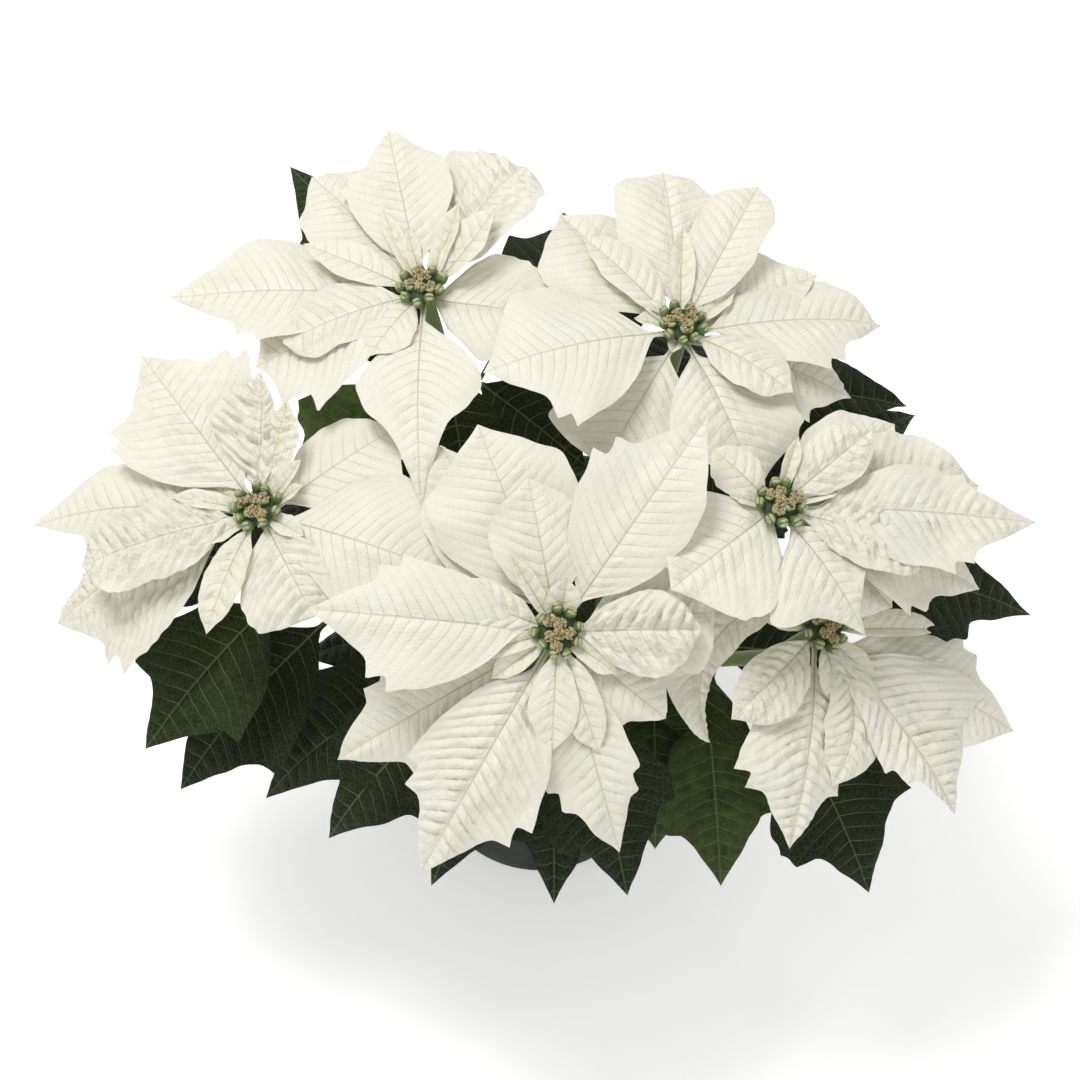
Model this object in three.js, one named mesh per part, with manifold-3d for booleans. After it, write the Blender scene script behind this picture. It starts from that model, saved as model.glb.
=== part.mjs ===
// A white poinsettia, grown as one pinched plant in a round nursery pot.
// Millimetres, +Z up. The origin is the middle of the pot's base, on the ground.
// Each leaf and bract is a thin blade: a curved midrib with an outline laid off on both sides of it.

import * as THREE from 'three';
import { mergeVertices } from 'three/addons/utils/BufferGeometryUtils.js';
import Module from 'manifold-3d';

const wasm = await Module();
wasm.setup();

// ---------- driving dimensions ----------

const GAP = 0.4;                    // between two pieces that touch on the real plant

// A 14 cm nursery pot: a plain tapered shell with a wider band round its rim and drain holes in its floor.
const POT = {
  baseRadius: 50, rimRadius: 68, height: 112, wall: 1.8, floor: 2.6,
  bandHeight: 13, bandStep: 2, sides: 36,
  drains: 6, drainRadius: 4.5, drainCircle: 34, drainSides: 8,
};
const SOIL = { top: 100, crown: 3, holeDepth: 24 };

const TRUNK = { top: 136, radius: 6.5, sides: 8 };
const BRANCH = { radius: 3.4, sides: 6, steps: 7, spread: 0.12, climb: 0.45, reach: 0.38 };

const BRACT_THICKNESS = 0.7;
const LEAF_THICKNESS = 0.8;
const VEIN_SWEEP = 0.45;            // how far the side veins run forward for each unit they run out
const MIDRIB_STEPS = 24;

// The receptacle is the short stem end that carries the bracts, with the cyathia on top of it.
const RECEPTACLE = { below: 4, radius: 3.6, length: 27, sides: 8, rootOffset: 2.4 };
const CYATHIA = {
  count: 10, spread: 3.1, radius: 2.4, height: 3.3, sides: 5, rings: 3,
  middleRise: 1.2, edgeDrop: 0.16, tilt: 3.4,
};
const SEAT = { radius: 8.4, bevel: 1, under: -1.2, edge: -0.4, middle: 0.2, sides: 7 };

// ---------- outlines of bracts and leaves ----------
// [place along the midrib, left half width, right half width], the widths as shares of the row's own.

const OUTLINES = {
  lobed: [[0, 0.04, 0.04], [0.12, 0.05, 0.05], [0.21, 0.54, 0.54], [0.36, 0.86, 0.84], [0.54, 1.00, 1.00],
    [0.63, 0.68, 0.70], [0.80, 0.42, 0.42], [1, 0, 0]],
  left_lobe: [[0, 0.04, 0.04], [0.12, 0.05, 0.05], [0.21, 0.54, 0.60], [0.38, 0.86, 0.98],
    [0.54, 1.00, 1.00], [0.63, 0.66, 0.90], [0.82, 0.40, 0.52], [1, 0, 0]],
  right_lobe: [[0, 0.04, 0.04], [0.12, 0.05, 0.05], [0.21, 0.60, 0.54], [0.38, 0.98, 0.86],
    [0.54, 1.00, 1.00], [0.63, 0.90, 0.66], [0.82, 0.52, 0.40], [1, 0, 0]],
  broad: [[0, 0.04, 0.04], [0.11, 0.05, 0.05], [0.21, 0.62, 0.62], [0.40, 1.00, 1.00], [0.62, 0.94, 0.94],
    [0.82, 0.56, 0.56], [1, 0, 0]],
  heart: [[0, 0.05, 0.05], [0.03, 0.07, 0.07], [0.07, 0.74, 0.50], [0.28, 1.00, 1.00], [0.58, 0.86, 0.86],
    [0.82, 0.44, 0.46], [1, 0, 0]],
  maple: [[0, 0.04, 0.04], [0.12, 0.05, 0.05], [0.21, 0.54, 0.54], [0.38, 0.84, 0.84], [0.58, 1.00, 1.00],
    [0.66, 0.70, 0.70], [0.86, 0.74, 0.74], [0.91, 0.36, 0.36], [1, 0, 0]],
  spade: [[0, 0.04, 0.04], [0.12, 0.05, 0.05], [0.20, 0.62, 0.62], [0.34, 1.00, 1.00], [0.46, 0.86, 0.86],
    [0.62, 0.48, 0.48], [0.82, 0.20, 0.20], [1, 0, 0]],
  round: [[0, 0.04, 0.04], [0.11, 0.05, 0.05], [0.22, 0.68, 0.68], [0.46, 1.00, 1.00], [0.74, 0.98, 0.98],
    [0.92, 0.62, 0.62], [1, 0, 0]],
  oval: [[0, 0.08, 0.08], [0.10, 0.12, 0.12], [0.26, 0.74, 0.74], [0.52, 1.00, 1.00], [0.78, 0.74, 0.74],
    [1, 0, 0]],
  strap: [[0, 0.20, 0.20], [0.30, 0.80, 0.80], [0.66, 0.96, 0.96], [1, 0, 0]],
  sickle: [[0, 0.08, 0.08], [0.10, 0.12, 0.12], [0.24, 0.90, 0.90], [0.44, 1.00, 1.00], [0.64, 0.62, 0.62],
    [0.82, 0.24, 0.24], [1, 0, 0]],
  leaf: [[0, 0.035, 0.035], [0.24, 0.04, 0.04], [0.33, 0.62, 0.62], [0.60, 1.00, 1.00], [0.68, 0.64, 0.64],
    [1, 0, 0]],
};

// ---------- the six blooms ----------
// crown: the middle of the cyathia. lean: the axis tilt towards +X and +Y, in degrees.
// Bract rows: outline, heading, length, left, right, rise, bend, drop, swerve, cup.
// Headings go round the axis from across it, and drop is how far below the cyathia's seat a bract starts.

const BLOOMS = [
  { name: 'back_left', crown: [-49, 84, 290], lean: [-10, 5], bracts: [
    ['left_lobe', 100, 83, 25, 22, 24, 26, 2, 0, 2],
    ['round', 56, 75, 34, 20, 24, 40, 3, 0, -4],
    ['broad', 126, 83, 22, 30, 20, 30, 3, 0, -2],
    ['oval', 154, 54, 9, 9, 20, 14, 1, 0, 4],
    ['left_lobe', 172, 106, 26, 28, 16, 18, 6, 10, -4],
    ['round', 199, 60, 13, 18, 18, 32, 1, 0, -4],
    ['maple', 198, 74, 36, 36, 12, 32, 4, 0, 0],
    ['spade', 268, 96, 26, 26, 14, 50, 4, 0, -2],
    ['oval', 235, 36, 12, 12, 20, 36, 1, 0, 0],
    ['oval', 37, 44, 10, 8, 16, -20, 1, 0, 10],
    ['strap', 61, 39, 6, 6, 16, -24, 1, 0, 10],
    ['heart', 347, 56, 28, 27, 0, 16, 5, 0, 0],
    ['strap', 113, 41, 5, 4, 16, -4, 1, 0, 6],
  ] },
  { name: 'back_right', crown: [59, 69, 285], lean: [8, 5], bracts: [
    ['left_lobe', 202, 88, 37, 32, 20, 34, 2, 0, -4],
    ['oval', 138, 56, 9, 12, 20, 20, 1, 0, 2],
    ['round', 95, 79, 24, 21, 22, 30, 3, 0, 0],
    ['round', 65, 76, 16, 14, 24, 22, 2, 0, 2],
    ['oval', 92, 43, 6, 6, 16, -20, 1, 0, 6],
    ['broad', 132, 74, 30, 22, 14, 22, 5, 0, 0],
    ['right_lobe', 11, 88, 24, 26, 16, 34, 4, 0, -4],
    ['broad', 32, 68, 24, 13, 12, 20, 5, 0, 0],
    ['oval', 329, 52, 14, 14, 18, 36, 1, 0, -2],
    ['right_lobe', 296, 75, 31, 30, 10, 44, 4, 0, -4],
    ['lobed', 352, 77, 30, 28, 6, 36, 7, 0, 0],
    ['round', 242, 64, 20, 30, 4, 42, 8, 0, 0],
    ['strap', 41, 28, 7, 5, 16, 4, 2, 0, 4],
  ] },
  { name: 'left', crown: [-115, -7, 265], lean: [-14, -5], bracts: [
    ['lobed', 125, 89, 35, 37, 20, 24, 3, 0, -2],
    ['left_lobe', 168, 105, 20, 22, 12, 34, 4, 12, -6],
    ['round', 192, 76, 19, 19, 18, 34, 2, 0, -4],
    ['left_lobe', 192, 112, 42, 26, 8, 56, 6, 0, -8],
    ['oval', 86, 56, 20, 7, 20, 4, 2, 0, 2],
    ['oval', 73, 45, 6, 10, 16, -8, 1, -6, 4],
    ['broad', 338, 81, 34, 27, 8, 28, 3, 0, -6],
    ['broad', 34, 65, 19, 29, 4, 16, 6, 0, 0],
    ['oval', 247, 54, 9, 9, 18, 42, 1, 0, 0],
    ['round', 296, 50, 14, 24, 12, 40, 2, 0, -2],
    ['oval', 210, 24, 5, 5, 12, 12, 1, 0, 0],
    ['oval', 325, 22, 5, 5, 12, 12, 1, 0, 0],
    ['strap', 167, 36, 4, 5, 16, 12, 1, 0, 0],
    ['strap', 149, 53, 4, 12, 14, 18, 2, 0, 0],
    ['strap', 40, 26, 5, 4, 16, -14, 1, 0, 6],
  ] },
  { name: 'front', crown: [7, -67, 270], lean: [0, -25], bracts: [
    ['lobed', 175, 98, 30, 25, 22, 32, 2, 0, -2],
    ['lobed', 209, 109, 26, 24, 2, 40, 7, 0, 0],
    ['lobed', 240, 112, 31, 28, 10, 42, 5, 0, -4],
    ['lobed', 286, 95, 17, 22, 8, 46, 5, 0, -2],
    ['oval', 267, 46, 10, 10, 16, 40, 1, 0, 0],
    ['oval', 289, 49, 8, 9, 14, 42, 1, 0, 0],
    ['oval', 1, 56, 16, 19, 20, 28, 1, 0, -4],
    ['lobed', 322, 54, 24, 20, 8, 36, 5, 0, 0],
    ['round', 8, 62, 20, 24, 14, 34, 3, 0, -4],
    ['left_lobe', 55, 103, 30, 22, 20, 16, 3, 0, 2],
    ['broad', 111, 87, 32, 29, 10, 20, 5, 0, -4],
    ['oval', 101, 61, 20, 18, 22, 14, 2, 0, 0],
    ['oval', 160, 50, 9, 10, 18, 20, 1, 0, 2],
    ['strap', 122, 35, 4, 5, 16, -8, 1, 0, 4],
    ['oval', 80, 22, 7, 7, 22, -20, 1, 0, 4],
    ['strap', 194, 34, 5, 5, 16, 18, 1, 0, 0],
    ['oval', 215, 30, 5, 6, 12, 26, 1, 0, 0],
    ['strap', 325, 27, 5, 5, 12, 18, 1, 0, 0],
    ['broad', 122, 90, 24, 14, 2, 22, 7, 0, 0],
  ] },
  { name: 'right', crown: [96, -17, 285], lean: [15, -8], bracts: [
    ['lobed', 2, 109, 22, 27, 16, 28, 3, 0, 0],
    ['broad', 14, 92, 28, 28, 10, 26, 5, 0, -4],
    ['oval', 347, 68, 17, 16, 18, 34, 2, 0, -4],
    ['lobed', 351, 100, 24, 26, 6, 38, 6, 0, 0],
    ['lobed', 338, 61, 12, 12, 10, 40, 4, 0, 0],
    ['spade', 308, 61, 21, 34, 16, 42, 2, 0, -4],
    ['heart', 221, 57, 31, 28, 14, 32, 2, 0, -4],
    ['broad', 140, 33, 12, 10, 12, 18, 2, 0, 0],
    ['oval', 42, 50, 13, 12, 20, 16, 1, 0, 2],
    ['broad', 40, 69, 20, 22, 8, 18, 7, 0, 0],
    ['broad', 333, 65, 20, 20, 4, 42, 6, 0, 0],
  ] },
  { name: 'low_right', crown: [116, -46, 235], lean: [25, -10], bracts: [
    ['sickle', 141, 108, 9, 21, 0, 60, 2, 230, 4],
    ['oval', 227, 55, 16, 12, 16, 44, 2, 0, -2],
    ['oval', 286, 30, 8, 8, 16, 40, 1, 0, 0],
    ['lobed', 268, 88, 21, 32, 6, 40, 5, 0, -6],
    ['oval', 311, 67, 15, 13, 16, 54, 2, -66, -6],
    ['oval', 321, 30, 6, 7, 16, 32, 1, 0, 0],
    ['lobed', 317, 97, 46, 19, 12, 38, 4, 0, -4],
    ['left_lobe', 345, 103, 29, 25, 8, 26, 5, 0, -4],
    ['oval', 7, 55, 8, 4, 16, 24, 1, 0, 0],
    ['oval', 172, 31, 7, 7, 16, 20, 1, 0, 0],
  ] },
];

// ---------- the foliage leaves ----------
// Rows: branch, place along it, heading, length, left, right, rise, bend, swerve, cup.

const LEAVES = [
  ['back_left', 0.8, 122, 148, 26, 26, 20, 44, 0, 0],
  ['back_left', 0.62, 127, 162, 26, 26, 24, 60, 0, 0],
  ['back_right', 0.78, 106, 134, 24, 24, 20, 50, 0, 0],
  ['back_left', 0.74, 63, 137, 24, 24, 16, 50, 0, 0],
  ['back_right', 0.86, 6, 114, 28, 28, 14, 46, 0, 0],
  ['right', 0.72, 41, 135, 24, 26, 20, 52, 0, 0],
  ['right', 0.8, 358, 145, 28, 30, 4, 40, 0, 0],
  ['left', 0.82, 224, 108, 34, 32, 2, 44, 0, 0],
  ['left', 0.62, 222, 126, 34, 32, 6, 56, 0, 0],
  ['front', 0.5, 205, 152, 30, 30, 14, 66, 0, 0],
  ['front', 0.66, 216, 137, 34, 32, 6, 62, 0, 0],
  ['front', 0.84, 240, 118, 26, 28, -2, 50, 0, 0],
  ['front', 0.72, 270, 117, 24, 24, 0, 60, 0, 0],
  ['front', 0.82, 288, 115, 30, 30, -6, 48, 0, 0],
  ['low_right', 0.5, 271, 91, 26, 26, 6, 66, 0, 0],
  ['low_right', 0.66, 275, 101, 28, 28, 4, 56, 0, 0],
  ['low_right', 0.84, 300, 114, 34, 32, -4, 44, 0, 0],
  ['back_left', 0.9, 327, 75, 24, 40, -6, 24, 0, 0],
  ['back_left', 0.86, 207, 88, 26, 28, -4, 40, 0, 0],
  ['back_left', 0.95, 282, 54, 20, 16, -6, 40, 0, 0],
  ['front', 0.66, 175, 119, 26, 30, 0, 40, 0, 0],
  ['low_right', 0.72, 250, 41, 28, 32, 6, 50, 0, 0],
  ['front', 0.55, 333, 73, 26, 26, 18, 40, 0, 0],
  ['back_left', 0.5, 62, 104, 26, 24, 26, 76, 0, 0],
  ['back_left', 0.58, 196, 104, 24, 26, 18, 70, 0, 0],
  ['back_right', 0.62, 70, 112, 26, 26, 20, 72, 0, 0],
  ['back_right', 0.46, 10, 104, 24, 24, 24, 72, 0, 0],
  ['left', 0.5, 135, 112, 26, 26, 22, 72, 0, 0],
  ['left', 0.72, 168, 112, 28, 28, 10, 58, 0, 0],
  ['right', 0.48, 42, 100, 26, 24, 24, 74, 0, 0],
  ['low_right', 0.5, 358, 112, 26, 26, 20, 70, 0, 0],
  ['back_right', 0.26, 100, 100, 26, 26, 22, 92, 0, 0],
  ['front', 0.34, 318, 92, 24, 24, 10, 84, 0, 0],
  ['back_right', 0.6, 236, 96, 26, 28, 2, 40, 0, 0],
];

// ---------- solids ----------

const { degToRad, lerp } = THREE.MathUtils;

// A closed geometry as a solid. Coinciding points are merged, and the triangles that they flatten go.
function solidOf(geometry) {
  const bare = new THREE.BufferGeometry().setAttribute('position', geometry.getAttribute('position'));
  bare.setIndex(geometry.getIndex());
  const merged = mergeVertices(bare, 1e-4);
  const corners = merged.getIndex().array;
  const kept = [];
  for (let i = 0; i < corners.length; i += 3) {
    const [a, b, c] = [corners[i], corners[i + 1], corners[i + 2]];
    if (a !== b && b !== c && c !== a) kept.push(a, b, c);
  }
  return new wasm.Manifold(new wasm.Mesh({
    numProp: 3,
    vertProperties: merged.getAttribute('position').array,
    triVerts: new Uint32Array(kept),
  }));
}

function meshOf(name, solid, material) {
  const { vertProperties, triVerts } = solid.getMesh();
  const geometry = new THREE.BufferGeometry();
  geometry.setAttribute('position', new THREE.BufferAttribute(new Float32Array(vertProperties), 3));
  geometry.setIndex(new THREE.BufferAttribute(new Uint32Array(triVerts), 1));
  geometry.computeVertexNormals();
  const mesh = new THREE.Mesh(geometry, material);
  mesh.name = name;
  return mesh;
}

const join = (solids) => wasm.Manifold.union(solids);

// Cutting a blade clear of its neighbour can part it: only the piece that holds its root is kept.
function largestBody(solid) {
  const bodies = solid.decompose();
  return bodies.reduce((best, body) => (body.volume() > best.volume() ? body : best));
}

// The axes of a bloom that leans by two angles: up its stem, and two directions across it.
function bloomAxes([leanX, leanY]) {
  const up = new THREE.Vector3(Math.tan(degToRad(leanX)), Math.tan(degToRad(leanY)), 1).normalize();
  const across = new THREE.Vector3(1, 0, 0).addScaledVector(up, -up.x).normalize();
  return { up, across, beyond: up.clone().cross(across) };
}

function headingIn({ across, beyond }, degrees) {
  const angle = degToRad(degrees);
  return across.clone().multiplyScalar(Math.cos(angle)).addScaledVector(beyond, Math.sin(angle));
}

// A blade's midrib starts at root, heads ahead and rises from the plane across up, then bends over.
// Its side points run forward along the veins, and cup lifts both halves from the midrib.
function blade({ outline, root, up, ahead, length, left, right, rise, bend, swerve, cup, thickness }) {
  const side = up.clone().cross(ahead);
  const frameAt = (s) => {
    const pitch = degToRad(rise - bend * s);
    const yaw = degToRad(swerve * s);
    const level = ahead.clone().multiplyScalar(Math.cos(yaw)).addScaledVector(side, Math.sin(yaw));
    return {
      along: level.clone().multiplyScalar(Math.cos(pitch)).addScaledVector(up, Math.sin(pitch)),
      left: side.clone().multiplyScalar(Math.cos(yaw)).addScaledVector(ahead, -Math.sin(yaw)),
      lift: up.clone().multiplyScalar(Math.cos(pitch)).addScaledVector(level, -Math.sin(pitch)),
    };
  };
  const step = length / MIDRIB_STEPS;
  const midrib = [root];
  for (let k = 0; k < MIDRIB_STEPS; k += 1) {
    const mean = frameAt(k / MIDRIB_STEPS).along.add(frameAt((k + 1) / MIDRIB_STEPS).along);
    midrib.push(midrib[k].clone().addScaledVector(mean, step / 2));
  }
  const pointAt = (s) => {
    const k = Math.min(Math.floor(s * MIDRIB_STEPS), MIDRIB_STEPS - 1);
    return midrib[k].clone().lerp(midrib[k + 1], s * MIDRIB_STEPS - k);
  };

  const faces = { top: [], bottom: [] };
  for (const [place, leftShare, rightShare] of OUTLINES[outline]) {
    for (const [hand, width] of [[1, leftShare * left], [0, 0], [-1, rightShare * right]]) {
      const s = Math.min(1, place + VEIN_SWEEP * width / length * (1 - place ** 3));
      const frame = frameAt(s);
      const middle = pointAt(s)
        .addScaledVector(frame.left, hand * width * Math.cos(degToRad(cup)))
        .addScaledVector(frame.lift, width * Math.sin(degToRad(cup)));
      faces.top.push(middle.clone().addScaledVector(frame.lift, thickness / 2));
      faces.bottom.push(middle.clone().addScaledVector(frame.lift, -thickness / 2));
    }
  }

  const points = [...faces.top, ...faces.bottom];
  const under = faces.top.length;
  const rows = under / 3;
  const index = [];
  for (let i = 0; i + 1 < rows; i += 1) {
    for (const j of [0, 1]) {
      const [a, b, c, d] = [3 * i + j, 3 * i + 3 + j, 3 * i + 4 + j, 3 * i + 1 + j];
      index.push(a, d, c, a, c, b);
      index.push(under + a, under + c, under + d, under + a, under + b, under + c);
    }
    const [l, m, r, s] = [3 * i, 3 * i + 3, 3 * i + 2, 3 * i + 5];
    index.push(l, m, under + l, m, under + m, under + l);
    index.push(r, under + r, s, s, under + r, under + s);
  }
  for (const j of [0, 1]) index.push(j, under + j, j + 1, j + 1, under + j, under + j + 1);
  const geometry = new THREE.BufferGeometry().setFromPoints(points);
  geometry.setIndex(index);
  return solidOf(geometry);
}

// The same blade with room round it, for cutting its neighbours clear.
const roomFor = (row) => blade({
  ...row,
  left: row.left + GAP,
  right: row.right + GAP,
  thickness: row.thickness + 2 * GAP,
});

// ---------- the pot and its soil ----------

const outerRadius = (z) => lerp(POT.baseRadius, POT.rimRadius, z / POT.height);
const innerRadius = (z) => outerRadius(z) - POT.wall;

function turned(profile, sides) {
  const geometry = new THREE.LatheGeometry(profile.map(([r, z]) => new THREE.Vector2(r, z)), sides);
  return solidOf(geometry.rotateX(Math.PI / 2));
}

function potSolid() {
  const bandFoot = POT.height - POT.bandHeight;
  const bandRadius = POT.rimRadius + POT.bandStep;
  const bevel = 1;
  const shell = turned([
    [0, 0],
    [POT.baseRadius - bevel, 0],
    [outerRadius(bevel), bevel],
    [outerRadius(bandFoot), bandFoot],
    [bandRadius - bevel, bandFoot + bevel],
    [bandRadius, POT.height - bevel],
    [bandRadius - bevel, POT.height],
    [innerRadius(POT.height), POT.height],
    [innerRadius(POT.floor), POT.floor],
    [0, POT.floor],
  ], POT.sides);
  const drains = [];
  for (let i = 0; i < POT.drains; i += 1) {
    const { drainRadius, drainSides } = POT;
    const drain = new THREE.CylinderGeometry(drainRadius, drainRadius, 3 * POT.floor, drainSides);
    const angle = 2 * Math.PI * i / POT.drains;
    drain.rotateX(Math.PI / 2);
    drain.translate(POT.drainCircle * Math.cos(angle), POT.drainCircle * Math.sin(angle), POT.floor / 2);
    drains.push(solidOf(drain));
  }
  return shell.subtract(join(drains));
}

function soilSolid() {
  const foot = POT.floor + GAP;
  const ball = turned([
    [0, foot],
    [innerRadius(foot) - GAP, foot],
    [innerRadius(SOIL.top) - GAP, SOIL.top],
    [TRUNK.radius * 3, SOIL.top + SOIL.crown],
    [0, SOIL.top + SOIL.crown],
  ], POT.sides);
  const holeRadius = TRUNK.radius + 2 * GAP;
  const holeTop = SOIL.top + 2 * SOIL.crown;
  const hole = new THREE.CylinderGeometry(holeRadius, holeRadius, SOIL.holeDepth, TRUNK.sides);
  hole.rotateX(Math.PI / 2).translate(0, 0, holeTop - SOIL.holeDepth / 2);
  return ball.subtract(solidOf(hole));
}

// ---------- the blooms ----------

const bloomPlaces = BLOOMS.map((bloom) => {
  const axes = bloomAxes(bloom.lean);
  const crown = new THREE.Vector3(...bloom.crown);
  const stemEnd = crown.clone().addScaledVector(axes.up, -(RECEPTACLE.below + RECEPTACLE.length));
  return { ...bloom, axes, crown, stemEnd };
});

// A solid that was made round +Z at the origin, stood up along a bloom's axis.
function stoodOn(geometry, origin, up) {
  const turn = new THREE.Quaternion().setFromUnitVectors(new THREE.Vector3(0, 0, 1), up);
  return geometry.applyQuaternion(turn).translate(origin.x, origin.y, origin.z);
}

function bractRows({ axes, crown, bracts }) {
  return bracts.map(([outline, heading, length, left, right, rise, bend, drop, swerve, cup]) => {
    const ahead = headingIn(axes, heading);
    const root = crown.clone()
      .addScaledVector(axes.up, -(RECEPTACLE.below + drop))
      .addScaledVector(ahead, RECEPTACLE.rootOffset);
    return {
      outline, root, up: axes.up, ahead, length, left, right, rise, bend, swerve, cup,
      thickness: BRACT_THICKNESS,
    };
  });
}

function receptacle({ axes, stemEnd }, room = 0) {
  const radius = RECEPTACLE.radius + room;
  const stem = new THREE.CylinderGeometry(radius, radius, RECEPTACLE.length, RECEPTACLE.sides);
  stem.rotateX(Math.PI / 2).translate(0, 0, RECEPTACLE.length / 2);
  return solidOf(stoodOn(stem, stemEnd, axes.up));
}

// The cyathia: little egg-shaped cups set in a spiral on a flared seat, leaning out towards the edge.
function cyathiaSolid({ axes, crown }, room = 0) {
  const seat = new THREE.LatheGeometry([
    [0, GAP - RECEPTACLE.below - room],
    [RECEPTACLE.radius + room, GAP - RECEPTACLE.below - room],
    [SEAT.radius + room, SEAT.under - room],
    [SEAT.radius - SEAT.bevel + room, SEAT.edge + room],
    [0, SEAT.middle + room],
  ].map(([r, z]) => new THREE.Vector2(r, z)), SEAT.sides).rotateX(Math.PI / 2);
  const parts = [solidOf(stoodOn(seat, crown, axes.up))];
  const goldenAngle = Math.PI * (3 - Math.sqrt(5));
  for (let i = 0; i < CYATHIA.count; i += 1) {
    const reach = CYATHIA.spread * Math.sqrt(i + 0.3);
    const cup = new THREE.SphereGeometry(CYATHIA.radius + room, CYATHIA.sides, CYATHIA.rings);
    cup.rotateX(Math.PI / 2).scale(1, 1, CYATHIA.height / CYATHIA.radius);
    cup.rotateY(degToRad(CYATHIA.tilt * reach));
    cup.translate(reach, 0, CYATHIA.middleRise - CYATHIA.edgeDrop * reach);
    cup.rotateZ(i * goldenAngle);
    parts.push(solidOf(stoodOn(cup, crown, axes.up)));
  }
  return join(parts);
}

// ---------- the leafy stem ----------

function branchCurve({ axes, stemEnd }) {
  const start = new THREE.Vector3(0, 0, TRUNK.top - 4);
  const end = stemEnd.clone().addScaledVector(axes.up, -GAP);
  const out = end.clone().sub(start).setZ(0);
  const climb = start.clone().addScaledVector(out, BRANCH.spread);
  climb.z += (end.z - start.z) * BRANCH.climb;
  const approach = end.clone().addScaledVector(axes.up, -end.distanceTo(start) * BRANCH.reach);
  return new THREE.CubicBezierCurve3(start, climb, approach, end);
}

const branchCurves = Object.fromEntries(bloomPlaces.map((place) => [place.name, branchCurve(place)]));

function branchSolid(curve) {
  const section = new THREE.Shape();
  section.absarc(0, 0, BRANCH.radius, 0, 2 * Math.PI);
  return solidOf(new THREE.ExtrudeGeometry(section, {
    extrudePath: curve, steps: BRANCH.steps, curveSegments: BRANCH.sides / 2,
  }));
}

function leafRows() {
  const level = { across: new THREE.Vector3(1, 0, 0), beyond: new THREE.Vector3(0, 1, 0) };
  return LEAVES.map(([branch, place, heading, length, left, right, rise, bend, swerve, cup]) => ({
    outline: 'leaf', root: branchCurves[branch].getPoint(place), up: new THREE.Vector3(0, 0, 1),
    ahead: headingIn(level, heading), length, left, right, rise, bend, swerve, cup,
    thickness: LEAF_THICKNESS,
  }));
}

function leafyStemSolid() {
  const foot = SOIL.top + 2 * SOIL.crown - SOIL.holeDepth + GAP;
  const trunk = new THREE.CylinderGeometry(TRUNK.radius, TRUNK.radius, TRUNK.top - foot, TRUNK.sides);
  trunk.rotateX(Math.PI / 2).translate(0, 0, (TRUNK.top + foot) / 2);
  return join([
    solidOf(trunk),
    ...Object.values(branchCurves).map(branchSolid),
    ...leafRows().map(blade),
  ]);
}

// ---------- materials ----------

const finish = (color, roughness) => new THREE.MeshStandardMaterial({
  color, roughness, metalness: 0, side: THREE.DoubleSide,
});
const potPlastic = finish('#26332d', 0.45);
const peat = finish('#2e231b', 0.95);
const leafGreen = finish('#24401f', 0.55);
const bractWhite = finish('#f2eee0', 0.6);
const cyathiaGreen = finish('#8b9440', 0.5);

// ---------- the whole plant ----------

const plant = new THREE.Group();
plant.name = 'potted_poinsettia';
plant.add(meshOf('pot', potSolid(), potPlastic));
plant.add(meshOf('potting_soil', soilSolid(), peat));

// Blooms are placed one after another, each cut clear of the room that the ones before it take.
const taken = bloomPlaces.map((place) => cyathiaSolid(place, GAP));
for (const place of bloomPlaces) {
  const rows = bractRows(place);
  const bracts = join([receptacle(place), ...rows.map(blade)]);
  const clear = largestBody(bracts.subtract(join(taken)));
  plant.add(meshOf(`bloom_${place.name}_bracts`, clear, bractWhite));
  plant.add(meshOf(`bloom_${place.name}_cyathia`, cyathiaSolid(place), cyathiaGreen));
  taken.push(receptacle(place, GAP), ...rows.map(roomFor));
}
plant.add(meshOf('leafy_stem', largestBody(leafyStemSolid().subtract(join(taken))), leafGreen));

export default plant;
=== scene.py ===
"""A white poinsettia in its nursery pot: pot, potting soil, trunk, six leafy shoots and six blooms.

The tables are in millimetres and degrees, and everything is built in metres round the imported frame.
"""
import math
import random

import bmesh
import bpy
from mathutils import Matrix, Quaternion, Vector, noise


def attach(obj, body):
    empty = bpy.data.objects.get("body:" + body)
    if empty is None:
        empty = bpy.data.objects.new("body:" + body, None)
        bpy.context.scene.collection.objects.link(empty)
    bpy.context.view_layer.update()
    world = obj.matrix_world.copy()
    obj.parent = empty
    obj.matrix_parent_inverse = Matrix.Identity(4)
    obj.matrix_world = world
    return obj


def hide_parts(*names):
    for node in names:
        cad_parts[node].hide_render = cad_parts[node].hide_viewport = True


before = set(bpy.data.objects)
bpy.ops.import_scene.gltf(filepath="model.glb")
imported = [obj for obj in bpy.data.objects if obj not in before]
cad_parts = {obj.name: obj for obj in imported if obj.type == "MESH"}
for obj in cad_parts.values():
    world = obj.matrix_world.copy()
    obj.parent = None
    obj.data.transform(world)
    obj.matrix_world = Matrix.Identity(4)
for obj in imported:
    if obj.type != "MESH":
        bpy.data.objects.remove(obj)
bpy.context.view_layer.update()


# ---------- The nursery pot ----------
# A 14 cm grower's pot, thermoformed from thin dark polypropylene sheet. The wall tapers so that pots
# nest, a deeper band stiffens the rim, and six holes in the floor let the water out.

MM = 0.001
TOUCHING = 1e-6         # metres: two points this near are one
GAP = 0.4               # between two pieces that touch on the real plant
POT = {"base": 50, "rim": 68, "height": 112, "wall": 1.8, "floor": 2.6, "band": 13, "step": 2,
       "sides": 96}
DRAINS = {"count": 6, "radius": 4.5, "circle": 34, "sides": 24}


def linear(colour):
    """An sRGB hex colour as linear RGBA."""
    values = [int(colour[i:i + 2], 16) / 255 for i in (1, 3, 5)]
    return [v / 12.92 if v <= 0.04045 else ((v + 0.055) / 1.055) ** 2.4 for v in values] + [1]


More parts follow.
